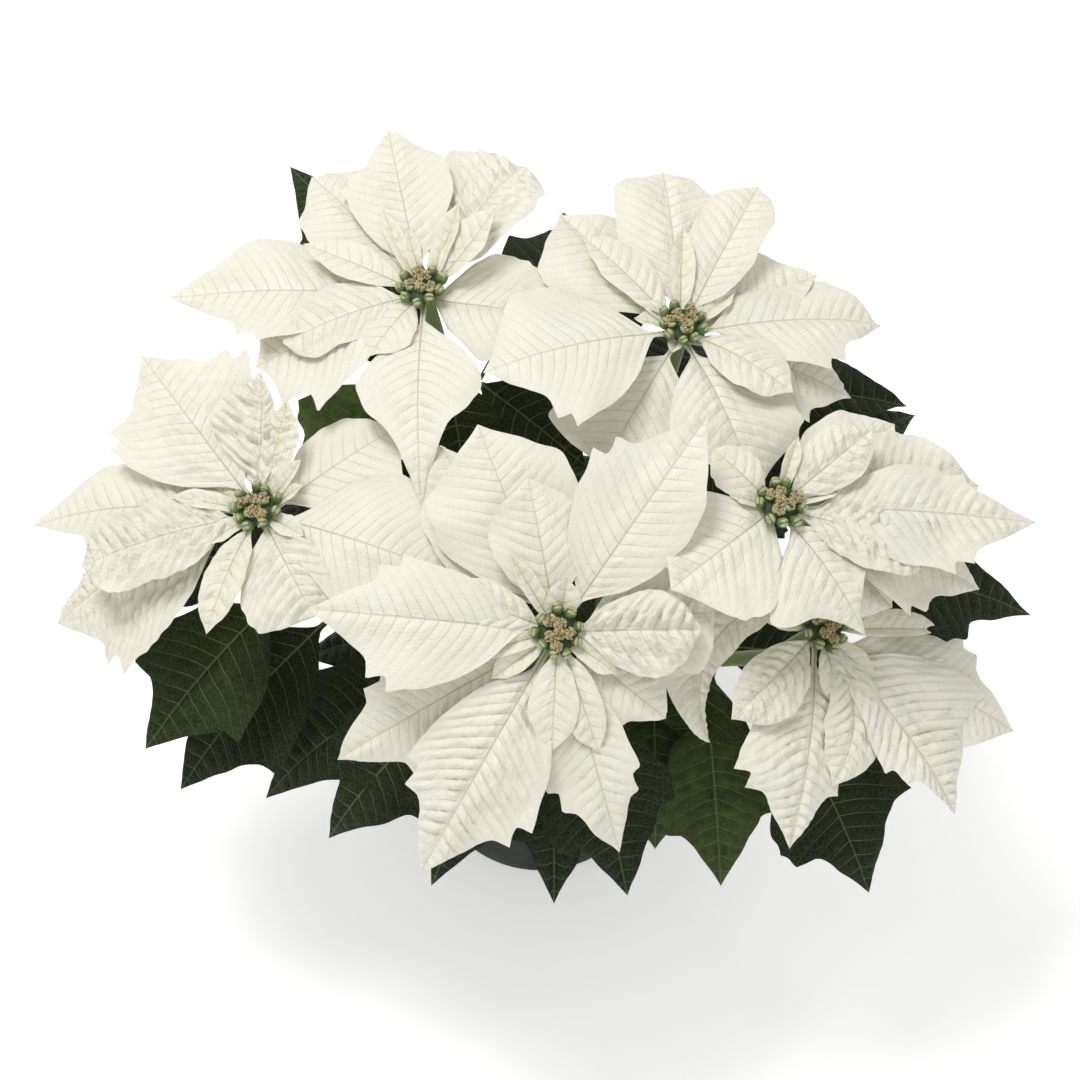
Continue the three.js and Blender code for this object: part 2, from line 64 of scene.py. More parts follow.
def add_node(tree, kind, inputs=None, **settings):
    """A shader node with its settings. An input is a value, or a socket to link."""
    node = tree.nodes.new("ShaderNode" + kind)
    for key, value in settings.items():
        setattr(node, key, value)
    for key, value in (inputs or {}).items():
        if isinstance(value, bpy.types.NodeSocket):
            tree.links.new(value, node.inputs[key])
        else:
            node.inputs[key].default_value = value
    return node


def new_material(name):
    """An empty material and its node tree."""
    material = bpy.data.materials.new(name)
    material.use_nodes = True
    material.node_tree.nodes.clear()
    return material, material.node_tree


def repeats(size):
    """The scale of a pattern whose parts are this many millimetres across."""
    return 1 / (size * MM)


def new_piece(name, bm, materials, node):
    """A finished mesh as a piece of the plant, in place of the CAD node that it stands for."""
    mesh = bpy.data.meshes.new(name)
    bm.to_mesh(mesh)
    bm.free()
    mesh.polygons.foreach_set("use_smooth", [True] * len(mesh.polygons))
    piece = bpy.data.objects.new(name, mesh)
    for material in materials:
        mesh.materials.append(material)
    bpy.context.scene.collection.objects.link(piece)
    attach(piece, "root")
    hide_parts(node)


def spun(bm, profile, turns):
    """A profile of (radius, height) in millimetres, spun round the Z axis into a skin."""
    verts = [bm.verts.new((r * MM, 0, z * MM)) for r, z in profile]
    edges = [bm.edges.new(pair) for pair in zip(verts, verts[1:])]
    bmesh.ops.spin(bm, geom=verts + edges, cent=(0, 0, 0), axis=(0, 0, 1), angle=math.tau,
                   steps=turns, use_merge=True)
    bmesh.ops.remove_doubles(bm, verts=bm.verts, dist=TOUCHING)


def pot_outside(z):
    return POT["base"] + (POT["rim"] - POT["base"]) * z / POT["height"]


def pot_inside(z):
    return pot_outside(z) - POT["wall"]


def build_pot(material):
    """The wall as one spun skin, then the floor's two faces filled in round the drain holes and joined."""
    bm = bmesh.new()
    base, floor = POT["base"], POT["floor"]
    top, band = POT["height"], POT["rim"] + POT["step"]
    foot = top - POT["band"]
    spun(bm, [
        (base - 4, 0), (base - 3.4, 0.1), (base - 1, 0.3), (base - 0.1, 1.2),
        (pot_outside(3), 3), (pot_outside(12), 12), (pot_outside(30), 30), (pot_outside(60), 60),
        (pot_outside(foot - 1), foot - 1), (pot_outside(foot) + 0.3, foot), (band - 0.6, foot + 0.8),
        (band, foot + 1.6), (band, top - 3), (band - 0.1, top - 1), (band - 0.9, top - 0.1),
        (band - 1.8, top), (pot_inside(top) + 0.3, top - 0.3), (pot_inside(top) - 0.1, top - 1.4),
        (pot_inside(80), 80), (pot_inside(30), 30), (pot_inside(6), 6),
        (pot_inside(3) - 1.6, floor + 0.1), (base - 5, floor),
    ], POT["sides"])
    for height in (0, floor):
        rims = [e for e in bm.edges
                if e.is_boundary and all(abs(v.co.z - height * MM) < TOUCHING for v in e.verts)]
        for i in range(DRAINS["count"]):
            angle = math.tau * i / DRAINS["count"]
            hole = bmesh.ops.create_circle(bm, segments=DRAINS["sides"], radius=DRAINS["radius"] * MM)
            bmesh.ops.translate(bm, verts=hole["verts"], vec=(
                DRAINS["circle"] * MM * math.cos(angle), DRAINS["circle"] * MM * math.sin(angle),
                height * MM))
            rims += {e for v in hole["verts"] for e in v.link_edges}
        bmesh.ops.triangle_fill(bm, use_beauty=True, use_dissolve=False, edges=rims)
    bmesh.ops.bridge_loops(bm, edges=[e for e in bm.edges if e.is_boundary])
    bmesh.ops.recalc_face_normals(bm, faces=bm.faces)
    new_piece("nursery_pot", bm, [material], "pot")


def pot_material():
    # Recycled polypropylene: dark grey-green, a soft satin from the warm mould, water marks in patches all
    # over it.
    material, tree = new_material("thermoformed_polypropylene")
    place = add_node(tree, "TexCoord").outputs["Object"]
    marks = add_node(tree, "TexNoise", {"Vector": place, "Scale": repeats(29.4), "Detail": 6,
                                        "Roughness": 0.6})
    grit = add_node(tree, "TexNoise", {"Vector": place, "Scale": repeats(1.11), "Detail": 3})
    colour = add_node(tree, "Mix", {0: marks.outputs[0], 6: linear("#0f150f"), 7: linear("#1a221a")},
                      data_type="RGBA")
    rough = add_node(tree, "MapRange", {0: marks.outputs[0], 1: 0.35, 2: 0.7, 3: 0.5, 4: 0.7})
    bump = add_node(tree, "Bump", {"Height": grit.outputs[0], "Strength": 0.12, "Distance": 0.4 * MM})
    plastic = add_node(tree, "BsdfPrincipled", {
        "Base Color": colour.outputs[2], "Roughness": rough.outputs[0], "Normal": bump.outputs[0],
        "IOR": 1.49, "Specular IOR Level": 0.12})
    add_node(tree, "OutputMaterial", {"Surface": plastic.outputs[0]})
    return material


build_pot(pot_material())


# ---------- The potting soil ----------
# A root ball of dark peat with bark crumbs and a little white perlite, filled to a finger below the rim.

SOIL = {"top": 100, "crown": 3, "rings": 26, "clear": 10, "sunk": 0.6}
PERLITE, BARK = 70, 60


def soil_material():
    # Moist sphagnum peat: nearly black brown, quite matt, with paler dry fibres on the crumbs.
    material, tree = new_material("sphagnum_peat")
    place = add_node(tree, "TexCoord").outputs["Object"]
    crumb = add_node(tree, "TexVoronoi", {"Vector": place, "Scale": repeats(1.92)})
    dry = add_node(tree, "TexNoise", {"Vector": place, "Scale": repeats(5.56), "Detail": 8,
                                      "Roughness": 0.7})
    colour = add_node(tree, "Mix", {0: dry.outputs[0], 6: linear("#17100b"), 7: linear("#4a3828")},
                      data_type="RGBA")
    bump = add_node(tree, "Bump", {"Height": crumb.outputs[0], "Strength": 0.7, "Distance": 1.2 * MM})
    peat = add_node(tree, "BsdfPrincipled", {
        "Base Color": colour.outputs[2], "Roughness": 0.95, "Normal": bump.outputs[0]})
    add_node(tree, "OutputMaterial", {"Surface": peat.outputs[0]})
    return material


def grain_material(name, dark, light, patches, roughness):
    """A dull grain of the mix, its colour and height in patches of a size in millimetres."""
    material, tree = new_material(name)
    place = add_node(tree, "TexCoord").outputs["Object"]
    patch = add_node(tree, "TexNoise", {"Vector": place, "Scale": repeats(patches), "Detail": 5})
    colour = add_node(tree, "Mix", {0: patch.outputs[0], 6: linear(dark), 7: linear(light)},
                      data_type="RGBA")
    bump = add_node(tree, "Bump", {"Height": patch.outputs[0], "Strength": 0.5, "Distance": 0.5 * MM})
    grain = add_node(tree, "BsdfPrincipled", {
        "Base Color": colour.outputs[2], "Roughness": roughness, "Normal": bump.outputs[0]})
    add_node(tree, "OutputMaterial", {"Surface": grain.outputs[0]})
    return material


def build_soil(materials):
    bm = bmesh.new()
    foot, top, crown = POT["floor"] + GAP, SOIL["top"], SOIL["crown"]
    edge = pot_inside(top) - GAP
    side = [(pot_inside(z) - GAP, z) for z in (foot, 40, 80, top)]
    rings = SOIL["rings"]
    dome = [(edge * (1 - i / rings), top + crown * math.sin(math.pi / 2 * i / rings))
            for i in range(1, rings)]
    spun(bm, [(0, foot)] + side + dome + [(0, top + crown)], POT["sides"])
    bmesh.ops.recalc_face_normals(bm, faces=bm.faces)

    # Lumps about 11 mm across with crumbs of 3 mm on them, flatter towards the wall of the pot.
    for vert in bm.verts:
        inside = 1 - vert.co.xy.length / (edge * MM)
        if vert.co.z > (top - 0.5) * MM and inside > 0.01:
            lumps = noise.noise(vert.co * 90) * 1.6 + noise.noise(vert.co * 320) * 1.1
            vert.co.z += min(0.6, lumps - 0.4) * MM * min(1, inside * 12)

    pick = random.Random(5)
    for i in range(PERLITE + BARK):
        reach, angle = edge * 0.95 * math.sqrt(pick.random()), pick.uniform(0, math.tau)
        if reach < SOIL["clear"]:
            continue
        height = top + crown * math.cos(math.pi / 2 * reach / edge) - SOIL["sunk"]
        grain = bmesh.ops.create_icosphere(bm, subdivisions=1, radius=pick.uniform(0.8, 1.7) * MM)["verts"]
        stretch = (pick.uniform(0.8, 1.3), pick.uniform(0.6, 1), 0.7) if i < PERLITE else (
            pick.uniform(1.6, 3.2), pick.uniform(0.7, 1.2), 0.5)
        bmesh.ops.scale(bm, verts=grain, vec=stretch)
        turn = Quaternion((0, 0, 1), pick.uniform(0, math.tau)).to_matrix()
        bmesh.ops.rotate(bm, verts=grain, cent=(0, 0, 0), matrix=turn)
        bmesh.ops.translate(bm, verts=grain, vec=(
            reach * MM * math.cos(angle), reach * MM * math.sin(angle), height * MM))
        for face in {f for v in grain for f in v.link_faces}:
            face.material_index = 1 if i < PERLITE else 2
    new_piece("potting_soil_fill", bm, materials, "potting_soil")


# Perlite is blown glass, chalk white and matt; bark is brown, with a grain that just catches the light.
build_soil([soil_material(),
            grain_material("expanded_perlite", "#cfcabd", "#efece2", 1.67, 0.9),
            grain_material("composted_bark", "#2b1b11", "#5b3d27", 2.5, 0.85)])


# ---------- The trunk and branches ----------
# One rooted cutting, pinched so that it forks: a short trunk with grey-brown bark at the foot, and six
# smooth green branches, each a little swollen where a leaf has grown.

TRUNK = {"top": 136, "radius": 6.5, "foot": 83, "fork": 4, "steps": 20, "sides": 20}
BRANCH = {"radius": 3.4, "spread": 0.12, "climb": 0.45, "reach": 0.38, "steps": 30, "sides": 12}
RECEPTACLE = {"below": 4, "radius": 3.6, "length": 27, "root": 2.4, "steps": 12, "sides": 16}

# crown: the middle of the cyathia. lean: the axis tilt towards +X and +Y.
# Bracts: outline, heading, length, left, right, rise, bend, drop, swerve, cup, pucker.
BLOOMS = {
    "back_left": {"crown": (-49, 84, 290), "lean": (-10, 5), "bracts": [
        ("left_lobe", 100, 83, 25, 22, 24, 26, 2, 0, 2, 0.2),
        ("round", 56, 75, 34, 20, 24, 40, 3, 0, -4, 0.6),
        ("broad", 126, 83, 22, 30, 20, 30, 3, 0, -2, 0.2),
        ("oval", 154, 54, 9, 9, 20, 14, 1, 0, 4, 0.2),
        ("left_lobe", 172, 106, 26, 28, 16, 18, 6, 10, -4, 0.2),
        ("round", 199, 60, 13, 18, 18, 32, 1, 0, -4, 0.4),
        ("maple", 198, 74, 36, 36, 12, 32, 4, 0, 0, 0.2),
        ("spade", 268, 96, 26, 26, 14, 50, 4, 0, -2, 0.2),
        ("oval", 235, 36, 12, 12, 20, 36, 1, 0, 0, 0.2),
        ("oval", 37, 44, 10, 8, 16, -20, 1, 0, 10, 0.2),
        ("strap", 61, 39, 6, 6, 16, -24, 1, 0, 10, 0.2),
        ("heart", 347, 56, 28, 27, 0, 16, 5, 0, 0, 0.2),
        ("strap", 101, 28, 4, 4, 16, -20, 1, 0, 6, 0.2),
        ("strap", 113, 41, 5, 4, 16, -4, 1, 0, 6, 0.2),
    ]},
    "back_right": {"crown": (59, 69, 285), "lean": (8, 5), "bracts": [
        ("left_lobe", 202, 88, 37, 32, 20, 34, 2, 0, -4, 0.06),
        ("oval", 138, 56, 9, 12, 20, 20, 1, 0, 2, 0.2),
        ("round", 95, 79, 24, 21, 22, 30, 3, 0, 0, 0.2),
        ("round", 65, 76, 16, 14, 24, 22, 2, 0, 2, 0.2),
        ("oval", 92, 43, 6, 6, 16, -20, 1, 0, 6, 0.2),
        ("broad", 132, 74, 30, 22, 14, 22, 5, 0, 0, 0.2),
        ("right_lobe", 11, 88, 24, 26, 16, 34, 4, 0, -4, 0.2),
        ("broad", 32, 68, 24, 13, 12, 20, 5, 0, 0, 0.2),
        ("oval", 329, 52, 14, 14, 18, 36, 1, 0, -2, 0.4),
        ("right_lobe", 296, 75, 31, 30, 10, 44, 4, 0, -4, 0.2),
        ("lobed", 352, 77, 30, 28, 6, 36, 7, 0, 0, 0.2),
        ("round", 242, 64, 20, 30, 4, 42, 8, 0, 0, 0.2),
        ("strap", 150, 19, 4, 4, 14, 0, 1, 0, 4, 0.2),
        ("strap", 172, 18, 4, 4, 10, 6, 1, 0, 4, 0.2),
        ("oval", 250, 10, 3.5, 3.5, 6, 16, 1, 0, 0, 0.2),
        ("strap", 41, 28, 7, 5, 16, 4, 2, 0, 4, 0.2),
    ]},
    "left": {"crown": (-115, -7, 265), "lean": (-14, -5), "bracts": [
        ("lobed", 125, 89, 35, 37, 20, 24, 3, 0, -2, 0.32),
        ("left_lobe", 168, 105, 20, 22, 12, 34, 4, 12, -6, 0.2),
        ("round", 192, 76, 19, 19, 18, 34, 2, 0, -4, 1),
        ("left_lobe", 192, 112, 42, 26, 8, 56, 6, 0, -8, 0.7),
        ("oval", 86, 56, 20, 7, 20, 4, 2, 0, 2, 1),
        ("oval", 73, 45, 6, 10, 16, -8, 1, -6, 4, 1),
        ("broad", 338, 81, 34, 27, 8, 28, 3, 0, -6, 0.06),
        ("broad", 34, 65, 19, 29, 4, 16, 6, 0, 0, 0.1),
        ("oval", 247, 54, 9, 9, 18, 42, 1, 0, 0, 0.8),
        ("round", 296, 50, 14, 24, 12, 40, 2, 0, -2, 0.5),
        ("oval", 210, 24, 5, 5, 12, 12, 1, 0, 0, 0.2),
        ("oval", 325, 22, 5, 5, 12, 12, 1, 0, 0, 0.2),
        ("strap", 167, 36, 4, 5, 16, 12, 1, 0, 0, 0.2),
        ("strap", 149, 53, 4, 12, 14, 18, 2, 0, 0, 0.2),
        ("strap", 40, 26, 5, 4, 16, -14, 1, 0, 6, 0.2),
        ("strap", 20, 20, 4, 4, 14, -8, 1, 0, 6, 0.2),
    ]},
    "front": {"crown": (7, -67, 270), "lean": (0, -25), "bracts": [
        ("lobed", 175, 98, 30, 25, 22, 32, 2, 0, -2, 0.1),
        ("lobed", 209, 109, 26, 24, 2, 40, 7, 0, 0, 0.2),
        ("lobed", 240, 112, 31, 28, 10, 42, 5, 0, -4, 0.42),
        ("lobed", 286, 95, 17, 22, 8, 46, 5, 0, -2, 0.2),
        ("oval", 267, 46, 10, 10, 16, 40, 1, 0, 0, 0.4),
        ("oval", 289, 49, 8, 9, 14, 42, 1, 0, 0, 0.4),
        ("oval", 1, 56, 16, 19, 20, 28, 1, 0, -4, 1),
        ("lobed", 322, 54, 24, 20, 8, 36, 5, 0, 0, 0.2),
        ("round", 8, 62, 20, 24, 14, 34, 3, 0, -4, 0.2),
        ("left_lobe", 55, 103, 30, 22, 20, 16, 3, 0, 2, 0.12),
        ("broad", 111, 87, 32, 29, 10, 20, 5, 0, -4, 0.1),
        ("oval", 101, 61, 20, 18, 22, 14, 2, 0, 0, 0.15),
        ("oval", 160, 50, 9, 10, 18, 20, 1, 0, 2, 0.5),
        ("strap", 122, 35, 4, 5, 16, -8, 1, 0, 4, 0.2),
        ("oval", 80, 22, 7, 7, 22, -20, 1, 0, 4, 0.2),
        ("strap", 194, 34, 5, 5, 16, 18, 1, 0, 0, 0.2),
        ("oval", 215, 30, 5, 6, 12, 26, 1, 0, 0, 0.2),
        ("strap", 325, 27, 5, 5, 12, 18, 1, 0, 0, 0.2),
        ("broad", 122, 90, 24, 14, 2, 22, 7, 0, 0, 0.2),
    ]},
    "right": {"crown": (96, -17, 285), "lean": (15, -8), "bracts": [
        ("lobed", 2, 109, 22, 27, 16, 28, 3, 0, 0, 0.32),
        ("broad", 14, 92, 28, 28, 10, 26, 5, 0, -4, 0.4),
        ("oval", 347, 68, 17, 16, 18, 34, 2, 0, -4, 1),
        ("lobed", 351, 100, 24, 26, 6, 38, 6, 0, 0, 0.2),
        ("lobed", 338, 61, 12, 12, 10, 40, 4, 0, 0, 0.2),
        ("spade", 308, 61, 21, 34, 16, 42, 2, 0, -4, 0.3),
        ("heart", 221, 57, 31, 28, 14, 32, 2, 0, -4, 0.2),
        ("broad", 140, 33, 12, 10, 12, 18, 2, 0, 0, 0.2),
        ("oval", 42, 50, 13, 12, 20, 16, 1, 0, 2, 0.8),
        ("strap", 78, 28, 4, 4, 16, -20, 1, 0, 6, 0.2),
        ("strap", 20, 27, 4, 4, 14, 4, 1, 0, 4, 0.2),
        ("strap", 174, 19, 4, 3, 12, 8, 1, 0, 4, 0.2),
        ("broad", 40, 69, 20, 22, 8, 18, 7, 0, 0, 0.2),
        ("broad", 333, 65, 20, 20, 4, 42, 6, 0, 0, 0.2),
    ]},
    "low_right": {"crown": (116, -46, 235), "lean": (25, -10), "bracts": [
        ("sickle", 141, 108, 9, 21, 0, 60, 2, 230, 4, 0.45),
        ("oval", 227, 55, 16, 12, 16, 44, 2, 0, -2, 0.9),
        ("oval", 286, 30, 8, 8, 16, 40, 1, 0, 0, 0.5),
        ("lobed", 268, 88, 21, 32, 6, 40, 5, 0, -6, 0.42),
        ("oval", 311, 67, 15, 13, 16, 54, 2, -66, -6, 0.6),
        ("oval", 321, 30, 6, 7, 16, 32, 1, 0, 0, 0.2),
        ("lobed", 317, 97, 46, 19, 12, 38, 4, 0, -4, 0.42),
        ("left_lobe", 345, 103, 29, 25, 8, 26, 5, 0, -4, 0.2),
        ("oval", 7, 55, 8, 4, 16, 24, 1, 0, 0, 0.2),
        ("oval", 172, 31, 7, 7, 16, 20, 1, 0, 0, 0.2),
    ]},
}


def bloom_axes(lean):
    """A bloom's axis up its stem, and two directions across it."""
    up = Vector((math.tan(math.radians(lean[0])), math.tan(math.radians(lean[1])), 1)).normalized()
    across = (Vector((1, 0, 0)) - up * up.x).normalized()
    return up, across, up.cross(across)


def stem_end(bloom):
    """The foot of a bloom's receptacle, where its branch ends."""
    up = bloom_axes(bloom["lean"])[0]
    return Vector(bloom["crown"]) - up * (RECEPTACLE["below"] + RECEPTACLE["length"])


def branch_point(bloom, t):
    """A point on a bloom's branch: a curve that climbs from the fork and comes in under the bloom."""
    up = bloom_axes(bloom["lean"])[0]
    start, end = Vector((0, 0, TRUNK["top"] - TRUNK["fork"])), stem_end(bloom) - up * GAP
    out = (end - start) * Vector((1, 1, 0))
    climb = start + out * BRANCH["spread"] + Vector((0, 0, (end.z - start.z) * BRANCH["climb"]))
    approach = end - up * (end - start).length * BRANCH["reach"]
    return (start * (1 - t) ** 3 + climb * 3 * t * (1 - t) ** 2
            + approach * 3 * t * t * (1 - t) + end * t ** 3)


def tube(bm, points, radii, sides, material):
    """A closed round stem along points, in millimetres: a grid rolled up and sewn."""
    steps = len(points) - 1
    grid = bmesh.ops.create_grid(bm, x_segments=steps, y_segments=sides, size=1)["verts"]
    ahead = [(points[min(i + 1, steps)] - points[max(i - 1, 0)]).normalized() for i in range(steps + 1)]
    out = [ahead[0].orthogonal().normalized()]
    for way in ahead[1:]:
        out.append((out[-1] - way * out[-1].dot(way)).normalized())
    for vert in grid:
        i = round((vert.co.x + 1) / 2 * steps)
        angle = (vert.co.y + 1) * math.pi
        spoke = out[i] * math.cos(angle) - ahead[i].cross(out[i]) * math.sin(angle)
        vert.co = (points[i] + spoke * radii[i]) * MM
    faces = {f for v in grid for f in v.link_faces}
    for face in faces:
        face.material_index = material
    bmesh.ops.remove_doubles(bm, verts=grid, dist=TOUCHING / 10)
    bmesh.ops.holes_fill(bm, edges=[e for f in faces if f.is_valid for e in f.edges if e.is_boundary],
                         sides=sides)


def stem_material():
    # Poinsettia stem: a smooth waxy green skin that turns to grey-brown cork from the foot upwards.
    material, tree = new_material("waxy_green_stem")
    place = add_node(tree, "TexCoord").outputs["Object"]
    height = add_node(tree, "SeparateXYZ", {0: place}).outputs[2]
    patch = add_node(tree, "TexNoise", {"Vector": place, "Scale": repeats(6.25), "Detail": 6})
    age = add_node(tree, "MapRange", {0: height, 1: 150 * MM, 2: 112 * MM, 3: 0, 4: 1})
    cork = add_node(tree, "Math", {0: age.outputs[0], 1: patch.outputs[0], 2: -0.15},
                    operation="MULTIPLY_ADD", use_clamp=True)
    colour = add_node(tree, "Mix", {0: cork.outputs[0], 6: linear("#6f7f4c"), 7: linear("#6b5f49")},
                      data_type="RGBA")
    bump = add_node(tree, "Bump", {"Height": patch.outputs[0], "Strength": 0.4, "Distance": 0.6 * MM})
    skin = add_node(tree, "BsdfPrincipled", {
        "Base Color": colour.outputs[2], "Roughness": 0.5, "Normal": bump.outputs[0]})
    add_node(tree, "OutputMaterial", {"Surface": skin.outputs[0]})
    return material


def build_trunk(material):
    """A straight stem with slight swellings, drawn in under its top, where the branches leave it."""
    bm = bmesh.new()
    steps, foot, top = TRUNK["steps"], TRUNK["foot"], TRUNK["top"]
    points = [Vector((0, 0, foot + (top - foot) * i / steps)) for i in range(steps + 1)]
    radii = [TRUNK["radius"] * (0.94 - 0.06 * math.sin(0.55 * i)) for i in range(steps + 1)]
    radii[-1] = radii[-2] * 0.6
    tube(bm, points, radii, TRUNK["sides"], 0)
    new_piece("trunk", bm, [material], "leafy_stem")


green_stem = stem_material()
build_trunk(green_stem)


# ---------- The foliage leaves ----------
# Dark green leaves with pointed lobes, on long petioles. The side veins leave the midrib in pairs and
# run forward to the lobes; they lie in grooves on the upper face and stand out pale on the lower one.

# Rows: branch, place along it, heading, length, left, right, rise, bend, swerve, cup, how young it looks.
LEAVES = [
    ("back_left", 0.8, 122, 148, 26, 26, 20, 44, 0, 0, 0.1),
    ("back_left", 0.62, 127, 162, 26, 26, 24, 60, 0, 0, 0.04),
    ("back_right", 0.78, 106, 134, 24, 24, 20, 50, 0, 0, 0.04),
    ("back_left", 0.74, 63, 137, 24, 24, 16, 50, 0, 0, 0.04),
    ("back_right", 0.86, 6, 114, 28, 28, 14, 46, 0, 0, 0.04),
    ("right", 0.72, 41, 135, 24, 26, 20, 52, 0, 0, 0.04),
    ("right", 0.8, 358, 145, 28, 30, 4, 40, 0, 0, 0.04),
    ("left", 0.82, 224, 108, 34, 32, 2, 44, 0, 0, 0.12),
    ("left", 0.62, 222, 126, 34, 32, 6, 56, 0, 0, 0.04),
    ("front", 0.5, 205, 152, 30, 30, 14, 66, 0, 0, 0.04),
    ("front", 0.66, 216, 137, 34, 32, 6, 62, 0, 0, 0.04),
    ("front", 0.84, 240, 118, 26, 28, -2, 50, 0, 0, 0.04),
    ("front", 0.72, 270, 117, 24, 24, 0, 60, 0, 0, 0.04),
    ("front", 0.82, 288, 115, 30, 30, -6, 48, 0, 0, 0.04),
    ("low_right", 0.5, 271, 91, 26, 26, 6, 66, 0, 0, 0.3),
    ("low_right", 0.66, 275, 101, 28, 28, 4, 56, 0, 0, 0.42),
    ("low_right", 0.84, 300, 114, 34, 32, -4, 44, 0, 0, 0.04),
    ("back_left", 0.9, 327, 75, 24, 40, -6, 24, 0, 0, 0.04),
    ("back_left", 0.86, 207, 88, 26, 28, -4, 40, 0, 0, 0.75),
    ("back_left", 0.95, 282, 54, 20, 16, -6, 40, 0, 0, 0.04),
    ("front", 0.66, 175, 119, 26, 30, 0, 40, 0, 0, 0.04),
    ("low_right", 0.72, 250, 41, 28, 32, 6, 50, 0, 0, 0.2),
    ("front", 0.55, 333, 73, 26, 26, 18, 40, 0, 0, 0.04),
    ("back_left", 0.5, 62, 104, 26, 24, 26, 76, 0, 0, 0.04),
    ("back_left", 0.58, 196, 104, 24, 26, 18, 70, 0, 0, 0.04),
    ("back_right", 0.62, 70, 112, 26, 26, 20, 72, 0, 0, 0.04),
    ("back_right", 0.46, 10, 104, 24, 24, 24, 72, 0, 0, 0.04),
    ("left", 0.5, 135, 112, 26, 26, 22, 72, 0, 0, 0.04),
    ("left", 0.72, 168, 112, 28, 28, 10, 58, 0, 0, 0.04),
    ("right", 0.48, 42, 100, 26, 24, 24, 74, 0, 0, 0.04),
    ("low_right", 0.5, 358, 112, 26, 26, 20, 70, 0, 0, 0.04),
    ("back_right", 0.26, 100, 100, 26, 26, 22, 92, 0, 0, 0.04),
    ("front", 0.34, 318, 92, 24, 24, 10, 84, 0, 0, 0.04),
    ("back_right", 0.6, 236, 96, 26, 28, 2, 40, 0, 0, 0.04),
]
# [place along the midrib, half width as a share of the row's own], or left and right where they differ.
OUTLINES = {
    "lobed": [[0, 0.04], [0.12, 0.05], [0.21, 0.54], [0.36, 0.86, 0.84], [0.54, 1], [0.58, 0.8, 0.78],
              [0.66, 0.84, 0.8], [0.7, 0.58, 0.56], [0.82, 0.36], [1, 0]],
    "left_lobe": [[0, 0.04], [0.12, 0.05], [0.21, 0.54, 0.6], [0.38, 0.86, 0.98], [0.54, 1],
                  [0.58, 0.8, 0.96], [0.66, 0.82, 0.86], [0.7, 0.56, 0.78], [0.82, 0.36, 0.5], [1, 0]],
    "right_lobe": [[0, 0.04], [0.12, 0.05], [0.21, 0.6, 0.54], [0.38, 0.98, 0.86], [0.54, 1],
                   [0.58, 0.96, 0.8], [0.66, 0.86, 0.82], [0.7, 0.78, 0.56], [0.82, 0.5, 0.36], [1, 0]],
    "broad": [[0, 0.04], [0.11, 0.05], [0.21, 0.62], [0.4, 1], [0.62, 0.94], [0.82, 0.56], [1, 0]],
    "heart": [[0, 0.05], [0.03, 0.07], [0.07, 0.74, 0.5], [0.28, 1], [0.58, 0.86], [0.82, 0.44, 0.46],
              [1, 0]],
    "maple": [[0, 0.04], [0.12, 0.05], [0.21, 0.54], [0.38, 0.84], [0.58, 1], [0.66, 0.7], [0.86, 0.74],
              [0.91, 0.36], [1, 0]],
    "spade": [[0, 0.04], [0.12, 0.05], [0.2, 0.62], [0.34, 1], [0.46, 0.86], [0.62, 0.48], [0.82, 0.2],
              [1, 0]],
    "round": [[0, 0.04], [0.11, 0.05], [0.22, 0.68], [0.46, 1], [0.74, 0.98], [0.92, 0.62], [1, 0]],
    "oval": [[0, 0.08], [0.1, 0.12], [0.26, 0.74], [0.52, 1], [0.78, 0.74], [1, 0]],
    "strap": [[0, 0.2], [0.3, 0.8], [0.66, 0.96], [1, 0]],
    "sickle": [[0, 0.08], [0.1, 0.12], [0.24, 0.9], [0.44, 1], [0.64, 0.62], [0.82, 0.24], [1, 0]],
    "leaf": [[0, 0.035], [0.24, 0.04], [0.33, 0.62], [0.46, 0.86, 0.84], [0.6, 1, 0.98],
             [0.65, 0.7, 0.86], [0.69, 0.62, 0.84], [0.73, 0.54, 0.52], [0.86, 0.28, 0.26], [1, 0]],
}
LOBE_FALL = -2          # an outline that falls this steeply after it has risen turns a lobe's corner
VEIN_SWEEP = 0.45       # how far the side veins run forward for each unit they run out
VEIN_SPACING = {"leaf": 6.4, "bract": 5.2}
MIDRIB_STEPS = 48
HALF_THICKNESS = 0.16
NODE_SWELLING = 1.12    # of a branch where a leaf has grown
LOWER_FACE, STEM = 1, 2     # material indices; the upper face is 0

# What each point of a blade keeps for its material: the count of side veins up to there, millimetres
# off the midrib, that as a share of the width, the place along the midrib, how young and how crinkled.
BLADE_LAYERS = ("vein", "offmid", "share", "place", "tint", "crinkle")


def smooth(low, high, value):
    """From 0 at low to 1 at high, with no corner at either."""
    t = min(1, max(0, (value - low) / (high - low)))
    return t * t * (3 - 2 * t)


def share_of_width(outline, hand, place):
    """The half width at a place, as a share: a smooth curve with a corner at each lobe's tip."""
    rows = OUTLINES[outline]
    k = max(i for i in range(len(rows) - 1) if rows[i][0] <= place)
    column = 1 if hand > 0 else -1

    def slope(i):
        return (rows[i + 1][column] - rows[i][column]) / (rows[i + 1][0] - rows[i][0])

    def tangent(i, forward):
        if i == 0 or i == len(rows) - 1:
            return slope(0 if i == 0 else i - 1)
        before, after = slope(i - 1), slope(i)
        if before >= 0 and after < LOBE_FALL and i < len(rows) - 2:
            return after * 1.3 if forward else before * 1.5
        return 2 * before * after / (before + after) if before * after > 0 else 0

    run = rows[k + 1][0] - rows[k][0]
    t = (place - rows[k][0]) / run
    a, b = rows[k][column], rows[k + 1][column]
    value = (a * (1 + 2 * t) * (1 - t) ** 2 + b * t * t * (3 - 2 * t)
             + run * (tangent(k, True) * t * (1 - t) ** 2 - tangent(k + 1, False) * t * t * (1 - t)))
    return max(0, value)


